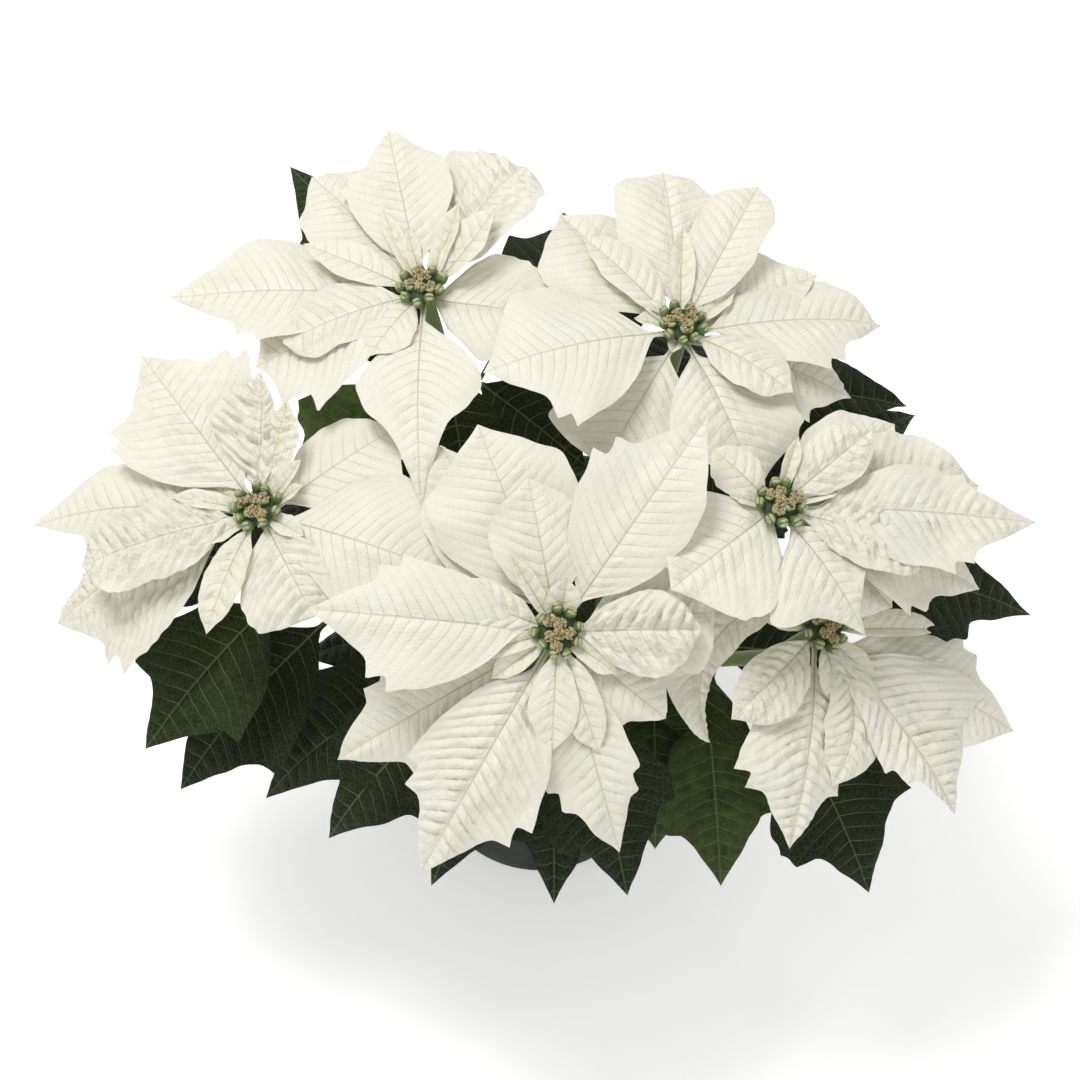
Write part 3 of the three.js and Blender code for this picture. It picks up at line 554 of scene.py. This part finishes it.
def midrib_of(row):
    """Points along a blade's midrib, and at each one the ways ahead, to the left and off the upper face."""
    up, ahead, steps = row["up"], row["ahead"], MIDRIB_STEPS
    side = up.cross(ahead)
    ways = []
    for i in range(steps + 1):
        curled = row["curl"] * smooth(0.72, 1, i / steps)
        pitch = math.radians(row["rise"] - row["bend"] * i / steps - curled)
        yaw = math.radians(row["swerve"] * i / steps)
        level = ahead * math.cos(yaw) + side * math.sin(yaw)
        ways.append((level * math.cos(pitch) + up * math.sin(pitch),
                     side * math.cos(yaw) - ahead * math.sin(yaw),
                     up * math.cos(pitch) - level * math.sin(pitch)))
    points = [row["root"]]
    for i in range(steps):
        points.append(points[i] + (ways[i][0] + ways[i + 1][0]) * (row["length"] / steps / 2))
    return points, ways


def raised_tissue(row, seed, middle, hand, place, share, width):
    """The count of side veins up to here, and how far the tissue stands off the flat blade: pillows and
    folds between the veins, puckers, a crease along the midrib, a warp, and a ripple at the margin."""
    own = Vector((seed, 0, 0))
    pairs = round(row["length"] / row["spacing"])
    vein = pairs * (place - row["arch"] * width / row["length"]) + 0.4 * noise.noise(middle / 20 + own)
    quilt = abs(math.sin(math.pi * vein)) ** 0.7
    bubble = 0.5 + 0.9 * noise.noise(Vector((vein * 1.3, width / 4.2, seed)))
    pillow = 0.5 - 0.5 * math.cos(math.tau * vein)
    uneven = max(0, 0.45 + 1.8 * noise.noise(Vector((vein * 0.55, width / 11 + hand * 4, seed + 3))))
    folds = row["folds"] * uneven * math.exp(-(width / 11) ** 2)
    held = (1 - math.exp(-(width / 2.6) ** 2)) * (1 - 0.75 * share ** 3)
    raised = (row["quilt"] * quilt + folds * pillow + row["pucker"] * quilt * bubble) * held
    raised -= row["crease"] * math.exp(-(width / 1.8) ** 2)
    raised += row["warp"] * noise.noise(middle / 26 + own) * min(1, width / 8)
    raised += row["ripple"] * share ** 2 * noise.noise(Vector((place * 4.2, hand * 2, seed + 7)))
    return vein, raised


def face_offsets(row, place, share, width):
    """How far the upper and the lower face lie off the middle: a thick petiole, and a rib underneath."""
    petiole = 1 - smooth(row["petiole"], row["petiole"] + 0.08, place)
    thin = (1 - share ** 6) * smooth(0, 0.01, place) * (1 - smooth(0.985, 1, place))
    rib = (0.9 - 0.6 * place) * math.exp(-(width / 1.1) ** 2)
    return (HALF_THICKNESS + 0.5 * petiole) * thin, (HALF_THICKNESS + rib + 0.4 * petiole) * thin


def blade(bm, layers, row, seed):
    """One leaf or bract: a grid laid along a curved midrib, its rows running out along the side veins,
    quilted between the veins, then doubled, thickened and sewn at the margin.

    In millimetres: spacing of the side veins, grain of the grid, and the heights quilt, folds, pucker,
    crease, warp and ripple. Petiole is its share of the length, ragged the unevenness of the margin,
    curl the tip's own bend in degrees, and arch how far the folds run forward.
    """
    length, cup = row["length"], math.radians(row["cup"])
    midrib, ways = midrib_of(row)
    along = max(16, round(length / row["grain"]))
    half = max(5, round(max(row["left"], row["right"]) / row["grain"] * 0.9))
    grid = bmesh.ops.create_grid(bm, x_segments=along, y_segments=2 * half, size=1)["verts"]
    offsets = {}
    for vert in grid:
        place, across = (vert.co.x + 1) / 2, vert.co.y
        hand = 1 if across >= 0 else -1
        share = abs(across) ** 1.2
        full = row["left"] if hand > 0 else row["right"]
        ragged = 1 + row["ragged"] * noise.noise(Vector((place * 9, hand * 3, seed)))
        width = full * share_of_width(row["outline"], hand, place) * ragged * share
        arch = 0.5 + 0.5 * share
        along_midrib = min(1, place + VEIN_SWEEP * arch * width / length * (1 - place ** 3))
        k = min(int(along_midrib * MIDRIB_STEPS), MIDRIB_STEPS - 1)
        t = along_midrib * MIDRIB_STEPS - k
        left = ways[k][1].lerp(ways[k + 1][1], t)
        lift = ways[k][2].lerp(ways[k + 1][2], t)
        middle = (midrib[k].lerp(midrib[k + 1], t) + left * (hand * width * math.cos(cup))
                  + lift * (width * math.sin(cup)))
        vein, raised = raised_tissue(row, seed, middle, hand, place, share, width)
        grown = smooth(row["petiole"], row["petiole"] + 0.12, place) * (1 - smooth(0.93, 1, place))
        vert.co = (middle + lift * raised * grown) * MM
        offsets[vert] = (lift,) + face_offsets(row, place, share, width)
        kept = (vein, hand * width, share, place, row["tint"], row["crinkle"])
        for key, value in zip(BLADE_LAYERS, kept):
            vert[layers[key]] = value
    faces = list({f for v in grid for f in v.link_faces})
    copied = bmesh.ops.duplicate(bm, geom=grid + faces)
    lower = [g for g in copied["geom"] if isinstance(g, bmesh.types.BMFace)]
    bmesh.ops.reverse_faces(bm, faces=lower)
    for face in lower:
        face.material_index = LOWER_FACE
    twins = [copied["vert_map"][v] for v in grid]
    for vert, twin in zip(grid, twins):
        lift, over, under = offsets[vert]
        twin.co = vert.co - lift * under * MM
        vert.co = vert.co + lift * over * MM
    bmesh.ops.remove_doubles(bm, verts=grid + twins, dist=TOUCHING * 2)


def blade_layers(bm):
    return {name: bm.verts.layers.float.new(name) for name in BLADE_LAYERS}


def crisp_margins(bm):
    """The margin is a sharp edge, so that light turns the corner there and not on the faces."""
    for edge in bm.edges:
        if len({face.material_index for face in edge.link_faces}) > 1:
            edge.smooth = False


def vein_lines(tree, look, read, place, off):
    """How much of a vein each point shows: the midrib and the side veins, drawn from what the blade
    keeps, and a net of small veins between them."""
    # 0 on a side vein, 0.5 midway to the next one. The lines thin out towards the margin.
    apart = add_node(tree, "Math", {0: read["vein"], 1: 0.5}, operation="PINGPONG")
    line = add_node(tree, "MapRange", {0: apart.outputs[0], 1: look["line"] * 0.3, 2: look["line"],
                                       3: 1, 4: 0})
    fading = add_node(tree, "MapRange", {0: read["share"], 1: 0.05, 2: 1.0, 3: 1, 4: 0.2})
    side_vein = add_node(tree, "Math", {0: line.outputs[0], 1: fading.outputs[0]}, operation="MULTIPLY")
    faint = add_node(tree, "Math", {0: side_vein.outputs[0], 1: look["side"]}, operation="MULTIPLY")

    net = add_node(tree, "TexVoronoi", {"Vector": place, "Scale": repeats(look["cell"])},
                   feature="DISTANCE_TO_EDGE")
    net_line = add_node(tree, "MapRange", {0: net.outputs[0], 1: 0.0, 2: 0.12, 3: look["net"], 4: 0})
    lined = add_node(tree, "Math", {0: faint.outputs[0], 1: net_line.outputs[0]}, operation="MAXIMUM")

    midrib = add_node(tree, "MapRange", {0: off, 1: 0.15, 2: look["midrib"], 3: 1, 4: 0})
    tapering = add_node(tree, "MapRange", {0: read["place"], 1: 0.1, 2: 1.0, 3: look["main"],
                                           4: look["main"] * 0.35})
    strong = add_node(tree, "Math", {0: midrib.outputs[0], 1: tapering.outputs[0]}, operation="MULTIPLY")
    veins = add_node(tree, "Math", {0: strong.outputs[0], 1: lined.outputs[0]}, operation="MAXIMUM")
    return veins.outputs[0]


def tissue_colour(tree, look, read, place, veins):
    """Two tones in soft patches, a young tint in blotches, a green foot, and the veins over them all."""
    patch = add_node(tree, "TexNoise", {"Vector": place, "Scale": repeats(16.7), "Detail": 4})
    body = add_node(tree, "Mix", {0: patch.outputs[0], 6: linear(look["dark"]),
                                  7: linear(look["light"])}, data_type="RGBA")
    blotch = add_node(tree, "TexNoise", {"Vector": place, "Scale": repeats(5.26), "Detail": 5,
                                         "Roughness": 0.7})
    patchy = add_node(tree, "MapRange", {0: blotch.outputs[0], 1: 0.3, 2: 0.6, 3: 0.35, 4: 1.1})
    youth = add_node(tree, "Math", {0: read["tint"], 1: patchy.outputs[0]}, operation="MULTIPLY",
                     use_clamp=True)
    tinted = add_node(tree, "Mix", {0: youth.outputs[0], 6: body.outputs[2], 7: linear(look["young"])},
                      data_type="RGBA")
    foot = add_node(tree, "MapRange", {0: read["place"], 1: 0.02, 2: look["reach"], 3: 0.9, 4: 0})
    footed = add_node(tree, "Mix", {0: foot.outputs[0], 6: tinted.outputs[2], 7: linear(look["foot"])},
                      data_type="RGBA")
    veined = add_node(tree, "Mix", {0: veins, 6: footed.outputs[2], 7: linear(look["vein"])},
                      data_type="RGBA")
    return veined.outputs[2]


def tissue_height(tree, look, read, off, veins):
    """A fine crimp about a millimetre apart across the side veins, wrinkles that are strongest by the
    midrib, and the veins sunk in them or raised."""
    def along_veins(per_vein, outward):
        across_them = add_node(tree, "Math", {0: read["vein"], 1: per_vein}, operation="MULTIPLY")
        beside_midrib = add_node(tree, "Math", {0: read["offmid"], 1: outward}, operation="MULTIPLY")
        laid = add_node(tree, "CombineXYZ", {0: across_them.outputs[0], 1: beside_midrib.outputs[0]})
        return add_node(tree, "TexNoise", {"Vector": laid.outputs[0], "Scale": 1, "Detail": 2}).outputs[0]

    crimp = add_node(tree, "Math", {0: along_veins(look["ribs"], 1.1), 1: look["rib"]},
                     operation="MULTIPLY")
    grooved = add_node(tree, "Math", {0: veins, 1: look["groove"], 2: crimp.outputs[0]},
                       operation="MULTIPLY_ADD")
    near = add_node(tree, "MapRange", {0: off, 1: 0.5, 2: 14, 3: look["wrinkle"],
                                       4: look["wrinkle"] * 0.35})
    deep = add_node(tree, "Math", {0: near.outputs[0], 1: read["crinkle"]}, operation="MULTIPLY")
    relief = add_node(tree, "Math", {0: along_veins(1.3, 0.3), 1: deep.outputs[0],
                                     2: grooved.outputs[0]}, operation="MULTIPLY_ADD")
    return relief.outputs[0]


def tissue_material(name, look):
    """Leaf tissue, drawn along the veins of each blade.

    Colours: dark and light patches, young tint, green foot and how far up it reaches, vein. Veins: line,
    a side vein's half width as a share of the gap to the next; midrib, in millimetres; how strongly the
    side, the main and the net ones show; the net's cell in millimetres. Relief: ribs of the crimp to a
    side vein and rib, their height; groove, below 0 for sunk veins; wrinkle; and the depth of it all.
    """
    material, tree = new_material(name)
    read = {key: add_node(tree, "Attribute", attribute_name=key).outputs["Fac"]
            for key in BLADE_LAYERS}
    place = add_node(tree, "TexCoord").outputs["Object"]
    off = add_node(tree, "Math", {0: read["offmid"]}, operation="ABSOLUTE").outputs[0]
    veins = vein_lines(tree, look, read, place, off)
    bump = add_node(tree, "Bump", {"Height": tissue_height(tree, look, read, off, veins),
                                   "Strength": look["depth"], "Distance": 0.9 * MM})
    tissue = add_node(tree, "BsdfPrincipled", {
        "Base Color": tissue_colour(tree, look, read, place, veins), "Roughness": look["rough"],
        "Normal": bump.outputs[0], "Specular IOR Level": look["shine"],
        "Subsurface Weight": look["glow"], "Subsurface Radius": (1.0, 0.85, 0.5),
        "Subsurface Scale": 3 * MM})
    add_node(tree, "OutputMaterial", {"Surface": tissue.outputs[0]})
    return material


# Mature poinsettia leaf: a dark, slightly glossy cuticle with fine pale veins; the lower face is dull
# and paler, and its veins stand out.
leaf_upper = tissue_material("mature_leaf_cuticle", {
    "dark": "#0e1607", "light": "#18220c", "young": "#5d7237", "foot": "#4c6230", "reach": 0.26,
    "vein": "#7c8c63", "line": 0.045, "midrib": 0.6, "side": 0.6, "main": 0.8, "net": 0.12,
    "cell": 1.92, "ribs": 6, "rib": 0.5, "groove": -0.7, "wrinkle": 0.9, "depth": 0.5, "rough": 0.6,
    "shine": 0.16, "glow": 0.0})
leaf_lower = tissue_material("leaf_underside", {
    "dark": "#3d4d2d", "light": "#4b5c38", "young": "#6d8048", "foot": "#5f7a3c", "reach": 0.26,
    "vein": "#7d8f62", "line": 0.06, "midrib": 1.2, "side": 0.8, "main": 0.9, "net": 0.2,
    "cell": 1.92, "ribs": 6, "rib": 0.5, "groove": 0.8, "wrinkle": 0.6, "depth": 0.4, "rough": 0.75,
    "shine": 0.2, "glow": 0.0})


def build_leaves():
    pick = random.Random(11)
    for name, bloom in BLOOMS.items():
        bm = bmesh.new()
        layers = blade_layers(bm)
        steps = BRANCH["steps"]
        points = [branch_point(bloom, i / steps) for i in range(steps + 1)]
        radii = [BRANCH["radius"] * (1.06 - 0.16 * i / steps) for i in range(steps + 1)]
        rows = [row[1:] for row in LEAVES if row[0] == name]
        for row in rows:
            radii[round(row[0] * steps)] *= NODE_SWELLING
        tube(bm, points, radii, BRANCH["sides"], STEM)
        for place, heading, length, left, right, rise, bend, swerve, cup, tint in rows:
            angle = math.radians(heading)
            blade(bm, layers, {
                "outline": "leaf", "root": branch_point(bloom, place), "up": Vector((0, 0, 1)),
                "ahead": Vector((math.cos(angle), math.sin(angle), 0)), "length": length,
                "left": left, "right": right, "rise": rise, "bend": bend, "swerve": swerve,
                "cup": cup, "spacing": VEIN_SPACING["leaf"], "petiole": 0.24,
                "grain": 1.75, "crinkle": 1, "quilt": 0.8, "folds": 0.3, "pucker": 0.5,
                "crease": 0.9, "warp": 2.4, "ripple": 3.2, "ragged": 0.12,
                "curl": pick.uniform(-8, 8), "arch": 0.1, "tint": tint,
            }, pick.uniform(0, 50))
        crisp_margins(bm)
        new_piece("shoot_" + name, bm, [leaf_upper, leaf_lower, green_stem], "leafy_stem")


build_leaves()


# ---------- The bracts ----------
# The white "petals" are coloured leaves. They grow in layers round the tip of each branch, the big
# lobed ones lowest, down to narrow folded ones beside the cyathia, and are cream with green feet.

# Bract tissue has no green in its upper layers: a cream velvet finish that lets a little light through.
bract_upper = tissue_material("cream_bract_tissue", {
    "dark": "#e6e2cf", "light": "#f0ede0", "young": "#ece8cc", "foot": "#b3b78c", "reach": 0.12,
    "vein": "#a5a27f", "line": 0.05, "midrib": 0.45, "side": 0.4, "main": 0.7, "net": 0.05,
    "cell": 1.61, "ribs": 1.5, "rib": 0.5, "groove": -0.5, "wrinkle": 2.2, "depth": 0.8, "rough": 0.55,
    "shine": 0.3, "glow": 0.1})
bract_lower = tissue_material("bract_underside", {
    "dark": "#dcd8c3", "light": "#e6e3d0", "young": "#dddbb6", "foot": "#a3aa72", "reach": 0.18,
    "vein": "#b0b085", "line": 0.05, "midrib": 0.9, "side": 0.5, "main": 0.8, "net": 0.08,
    "cell": 1.61, "ribs": 1.5, "rib": 0.5, "groove": 0.6, "wrinkle": 1.0, "depth": 0.5, "rough": 0.7,
    "shine": 0.25, "glow": 0.1})


def build_bracts(name, bloom, pick):
    up, across, beyond = bloom_axes(bloom["lean"])
    crown = Vector(bloom["crown"])
    bm = bmesh.new()
    layers = blade_layers(bm)
    for row in bloom["bracts"]:
        outline, heading, length, left, right, rise, bend, drop, swerve, cup, pucker = row
        angle = math.radians(heading)
        ahead = across * math.cos(angle) + beyond * math.sin(angle)
        # The small inner bracts are smoother than the outer ones, and the narrowest are folded up.
        small = 1 - smooth(8, 22, max(left, right))
        folded = 22 * (1 - smooth(4, 11, max(left, right)))
        blade(bm, layers, {
            "outline": outline, "root": crown - up * (RECEPTACLE["below"] + drop)
            + ahead * RECEPTACLE["root"], "up": up, "ahead": ahead, "length": length,
            "left": left, "right": right, "rise": rise, "bend": bend, "swerve": swerve,
            "cup": cup + folded, "spacing": VEIN_SPACING["bract"], "petiole": 0.06,
            "grain": 1.44 - 0.47 * max(small, pucker > 0.4),
            "quilt": 0.22 * (1 - 0.8 * small), "folds": min(1.8, 0.4 + 3.4 * pucker) * (1 - 0.6 * small),
            "pucker": 5.6 * pucker * (1 - 0.4 * small), "crinkle": 0.35 + 1.5 * pucker,
            "crease": 0.5, "warp": 3.4 * (1 - small), "ripple": 4.0 * (1 - 0.75 * small),
            "ragged": 0.06, "curl": pick.uniform(-8, 12) * (1 - small), "arch": 0.3,
            "tint": 0.45 * small,
        }, pick.uniform(0, 50))
    foot, steps = stem_end(bloom), RECEPTACLE["steps"]
    points = [foot + up * (RECEPTACLE["length"] * (i / steps * 1.02 - 0.01)) for i in range(steps + 1)]
    radii = [RECEPTACLE["radius"] * (0.92 + 0.06 * i / steps) for i in range(steps + 1)]
    tube(bm, points, radii, RECEPTACLE["sides"], STEM)
    crisp_margins(bm)
    new_piece("bracts_" + name, bm, [bract_upper, bract_lower, green_stem],
              "bloom_%s_bracts" % name)


bract_pick = random.Random(23)
for bloom_name, bloom_row in BLOOMS.items():
    build_bracts(bloom_name, bloom_row, bract_pick)


# ---------- The cyathia ----------
# The true flowers: green cups crowded on the shoot's tip, each with a two-lipped yellowish gland. The
# oldest, in the middle, have opened and push up a crumb of tan stamens; the outer ones are still buds.

CYATHIA = {"open": 6, "buds": 9, "inner": 2.3, "outer": 8.4, "radius": 2.5, "height": 3.3,
           "rise": 1.2, "fall": 0.16, "tilt": 3.4}
GLAND = {"radius": 1.7, "stretch": (1.05, 0.5, 0.55), "height": 0.66, "shut": 0.85, "apart": 1.9}
ANTHERS = {"count": 40, "reach": 2.3, "height": 2.1}
SEAT = {"radius": 8.2, "height": 2.6, "middle": -1.4}
CUP_PART, GLAND_PART, ANTHER_PART, SHADE_SEAT_PART = range(4)     # material indices


def flower_material(name, dark, light, patches, roughness):
    """A part of the flower, its colour and height in patches of a size in millimetres."""
    material, tree = new_material(name)
    place = add_node(tree, "TexCoord").outputs["Object"]
    patch = add_node(tree, "TexNoise", {"Vector": place, "Scale": repeats(patches), "Detail": 4})
    spread = add_node(tree, "MapRange", {0: patch.outputs[0], 1: 0.35, 2: 0.65, 3: 0, 4: 1})
    colour = add_node(tree, "Mix", {0: spread.outputs[0], 6: linear(dark), 7: linear(light)},
                      data_type="RGBA")
    bump = add_node(tree, "Bump", {"Height": patch.outputs[0], "Strength": 0.3, "Distance": 0.3 * MM})
    tissue = add_node(tree, "BsdfPrincipled", {
        "Base Color": colour.outputs[2], "Roughness": roughness, "Normal": bump.outputs[0]})
    add_node(tree, "OutputMaterial", {"Surface": tissue.outputs[0]})
    return material


# Waxy green involucre, a wet pale gland, dry pollen-dusted anthers, and the stem tip under them, painted
# dark green as shade.
cup_green = flower_material("waxy_green_involucre", "#47592f", "#788a58", 2.38, 0.5)
gland_cream = flower_material("wet_nectar_gland", "#8f9969", "#b9bb90", 1.67, 0.4)
anther_tan = flower_material("dry_anthers", "#8f8058", "#cdbb92", 1.11, 0.9)
painted_shade_seat = flower_material("shaded_stem_tip", "#1c2a12", "#33471f", 3.33, 0.6)


def build_cyathia(name, bloom, pick):
    up = bloom_axes(bloom["lean"])[0]
    stand = Vector((0, 0, 1)).rotation_difference(up)
    crown = Vector(bloom["crown"])
    bm = bmesh.new()

    def settle(verts, turns, origin, material):
        for turn in turns:
            bmesh.ops.rotate(bm, verts=verts, cent=(0, 0, 0), matrix=turn.to_matrix())
        bmesh.ops.translate(bm, verts=verts, vec=origin * MM)
        for face in {f for v in verts for f in v.link_faces}:
            face.material_index = material

    # The stem tip under the cyathia; its dark green colour is painted shade.
    seat = bmesh.ops.create_uvsphere(bm, u_segments=24, v_segments=12, radius=SEAT["radius"] * MM)["verts"]
    bmesh.ops.scale(bm, verts=seat, vec=(1, 1, SEAT["height"] / SEAT["radius"]))
    settle(seat, (stand,), crown + up * SEAT["middle"], SHADE_SEAT_PART)

    golden = math.pi * (3 - math.sqrt(5))
    first = pick.uniform(0, math.tau)
    for i in range(CYATHIA["open"] + CYATHIA["buds"]):
        # The open ones stand in a spiral in the middle, and the buds in a ring round them.
        bud = i >= CYATHIA["open"]
        if bud:
            reach = CYATHIA["outer"] + pick.uniform(-0.7, 0.7)
            angle = first + math.tau * (i - CYATHIA["open"]) / CYATHIA["buds"] + pick.uniform(-0.12, 0.12)
        else:
            reach, angle = CYATHIA["inner"] * math.sqrt(i + 0.25), first + i * golden
        lean = Quaternion((-math.sin(angle), math.cos(angle), 0), math.radians(CYATHIA["tilt"] * reach))
        size = pick.uniform(0.86, 1.06)
        centre = crown + stand @ Vector((reach * math.cos(angle), reach * math.sin(angle),
                                         CYATHIA["rise"] - CYATHIA["fall"] * reach))
        turns = (lean, stand)
        shoulder = CYATHIA["height"] * 0.5 * size * MM

        cup = bmesh.ops.create_uvsphere(bm, u_segments=18, v_segments=12,
                                        radius=CYATHIA["radius"] * size * MM)["verts"]
        bmesh.ops.scale(bm, verts=cup, vec=(0.95, 0.95, CYATHIA["height"] / CYATHIA["radius"]))
        for vert in cup:
            if vert.co.z > shoulder:
                vert.co.z = shoulder + (vert.co.z - shoulder) * 0.35
        settle(cup, turns, centre, CUP_PART)

        twist = Quaternion((0, 0, 1), angle + math.pi / 2 * bud + pick.uniform(-0.5, 0.5))
        for lip in (-1, 1):
            gland = bmesh.ops.create_uvsphere(bm, u_segments=14, v_segments=8,
                                              radius=GLAND["radius"] * size * MM)["verts"]
            bmesh.ops.scale(bm, verts=gland, vec=GLAND["stretch"])
            bmesh.ops.translate(bm, verts=gland, vec=(
                0, lip * GLAND["shut" if bud else "apart"] * size * MM,
                CYATHIA["height"] * GLAND["height"] * size * MM))
            settle(gland, (twist,) + turns, centre, GLAND_PART)
        if not bud:
            for _ in range(ANTHERS["count"]):
                crumb = bmesh.ops.create_icosphere(bm, subdivisions=1,
                                                   radius=pick.uniform(0.4, 0.75) * MM)["verts"]
                spot = Vector((pick.gauss(0, 1), pick.gauss(0, 1), abs(pick.gauss(0, 1)))).normalized()
                spot *= ANTHERS["reach"] * size * pick.uniform(0.55, 1.1)
                bmesh.ops.translate(bm, verts=crumb, vec=(spot + Vector((0, 0, ANTHERS["height"]))) * MM)
                settle(crumb, turns, centre, ANTHER_PART)
    new_piece("cyathia_" + name, bm, [cup_green, gland_cream, anther_tan, painted_shade_seat],
              "bloom_%s_cyathia" % name)


cyathia_pick = random.Random(41)
for bloom_name, bloom_row in BLOOMS.items():
    build_cyathia(bloom_name, bloom_row, cyathia_pick)


# ---------- The studio ----------
# A pale paper floor that glows a little, as a light table does, a soft light above on the left, a weak
# one in front, and a bright sky.

FLOOR_SIZE, FLOOR_GLOW, SKY_GLOW = 4, 0.34, 0.6
CAMERA = {"place": (0, -0.65, 1.3518), "target": (0, 0, 0.226), "lens": 104, "sensor": 36}


def build_floor():
    bm = bmesh.new()
    bmesh.ops.create_grid(bm, x_segments=1, y_segments=1, size=FLOOR_SIZE)
    material, tree = new_material("pale_paper")
    paper = add_node(tree, "BsdfPrincipled", {
        "Base Color": linear("#fafaf9"), "Roughness": 0.9, "Emission Color": linear("#ffffff"),
        "Emission Strength": FLOOR_GLOW})
    add_node(tree, "OutputMaterial", {"Surface": paper.outputs[0]})
    mesh = bpy.data.meshes.new("floor")
    bm.to_mesh(mesh)
    bm.free()
    mesh.materials.append(material)
    floor = bpy.data.objects.new("floor", mesh)
    bpy.context.scene.collection.objects.link(floor)


def stand_aimed(item, place):
    """Puts a lamp or the camera in its place, in metres, aimed at the middle of the plant."""
    item.location = place
    way = Vector(CAMERA["target"]) - item.location
    item.rotation_euler = way.to_track_quat("-Z", "Y").to_euler()
    bpy.context.scene.collection.objects.link(item)


def soft_light(name, place, size, power):
    light = bpy.data.lights.new(name, "AREA")
    light.shape, light.size, light.energy = "DISK", size, power
    stand_aimed(bpy.data.objects.new(name, light), place)


def build_sky():
    world = bpy.data.worlds.new("studio_sky")
    world.use_nodes = True
    background = world.node_tree.nodes["Background"]
    background.inputs[0].default_value = linear("#ffffff")
    background.inputs[1].default_value = SKY_GLOW
    bpy.context.scene.world = world
    bpy.context.scene.view_settings.view_transform = "Standard"


def build_camera():
    lens = bpy.data.cameras.new("camera")
    lens.lens, lens.sensor_width = CAMERA["lens"], CAMERA["sensor"]
    camera = bpy.data.objects.new("camera", lens)
    stand_aimed(camera, CAMERA["place"])
    bpy.context.scene.camera = camera


build_floor()
soft_light("key", (-0.5, 0.35, 2.0), 0.7, 18)
soft_light("fill", (0.3, -1.7, 1.6), 1.6, 5)
build_sky()
build_camera()
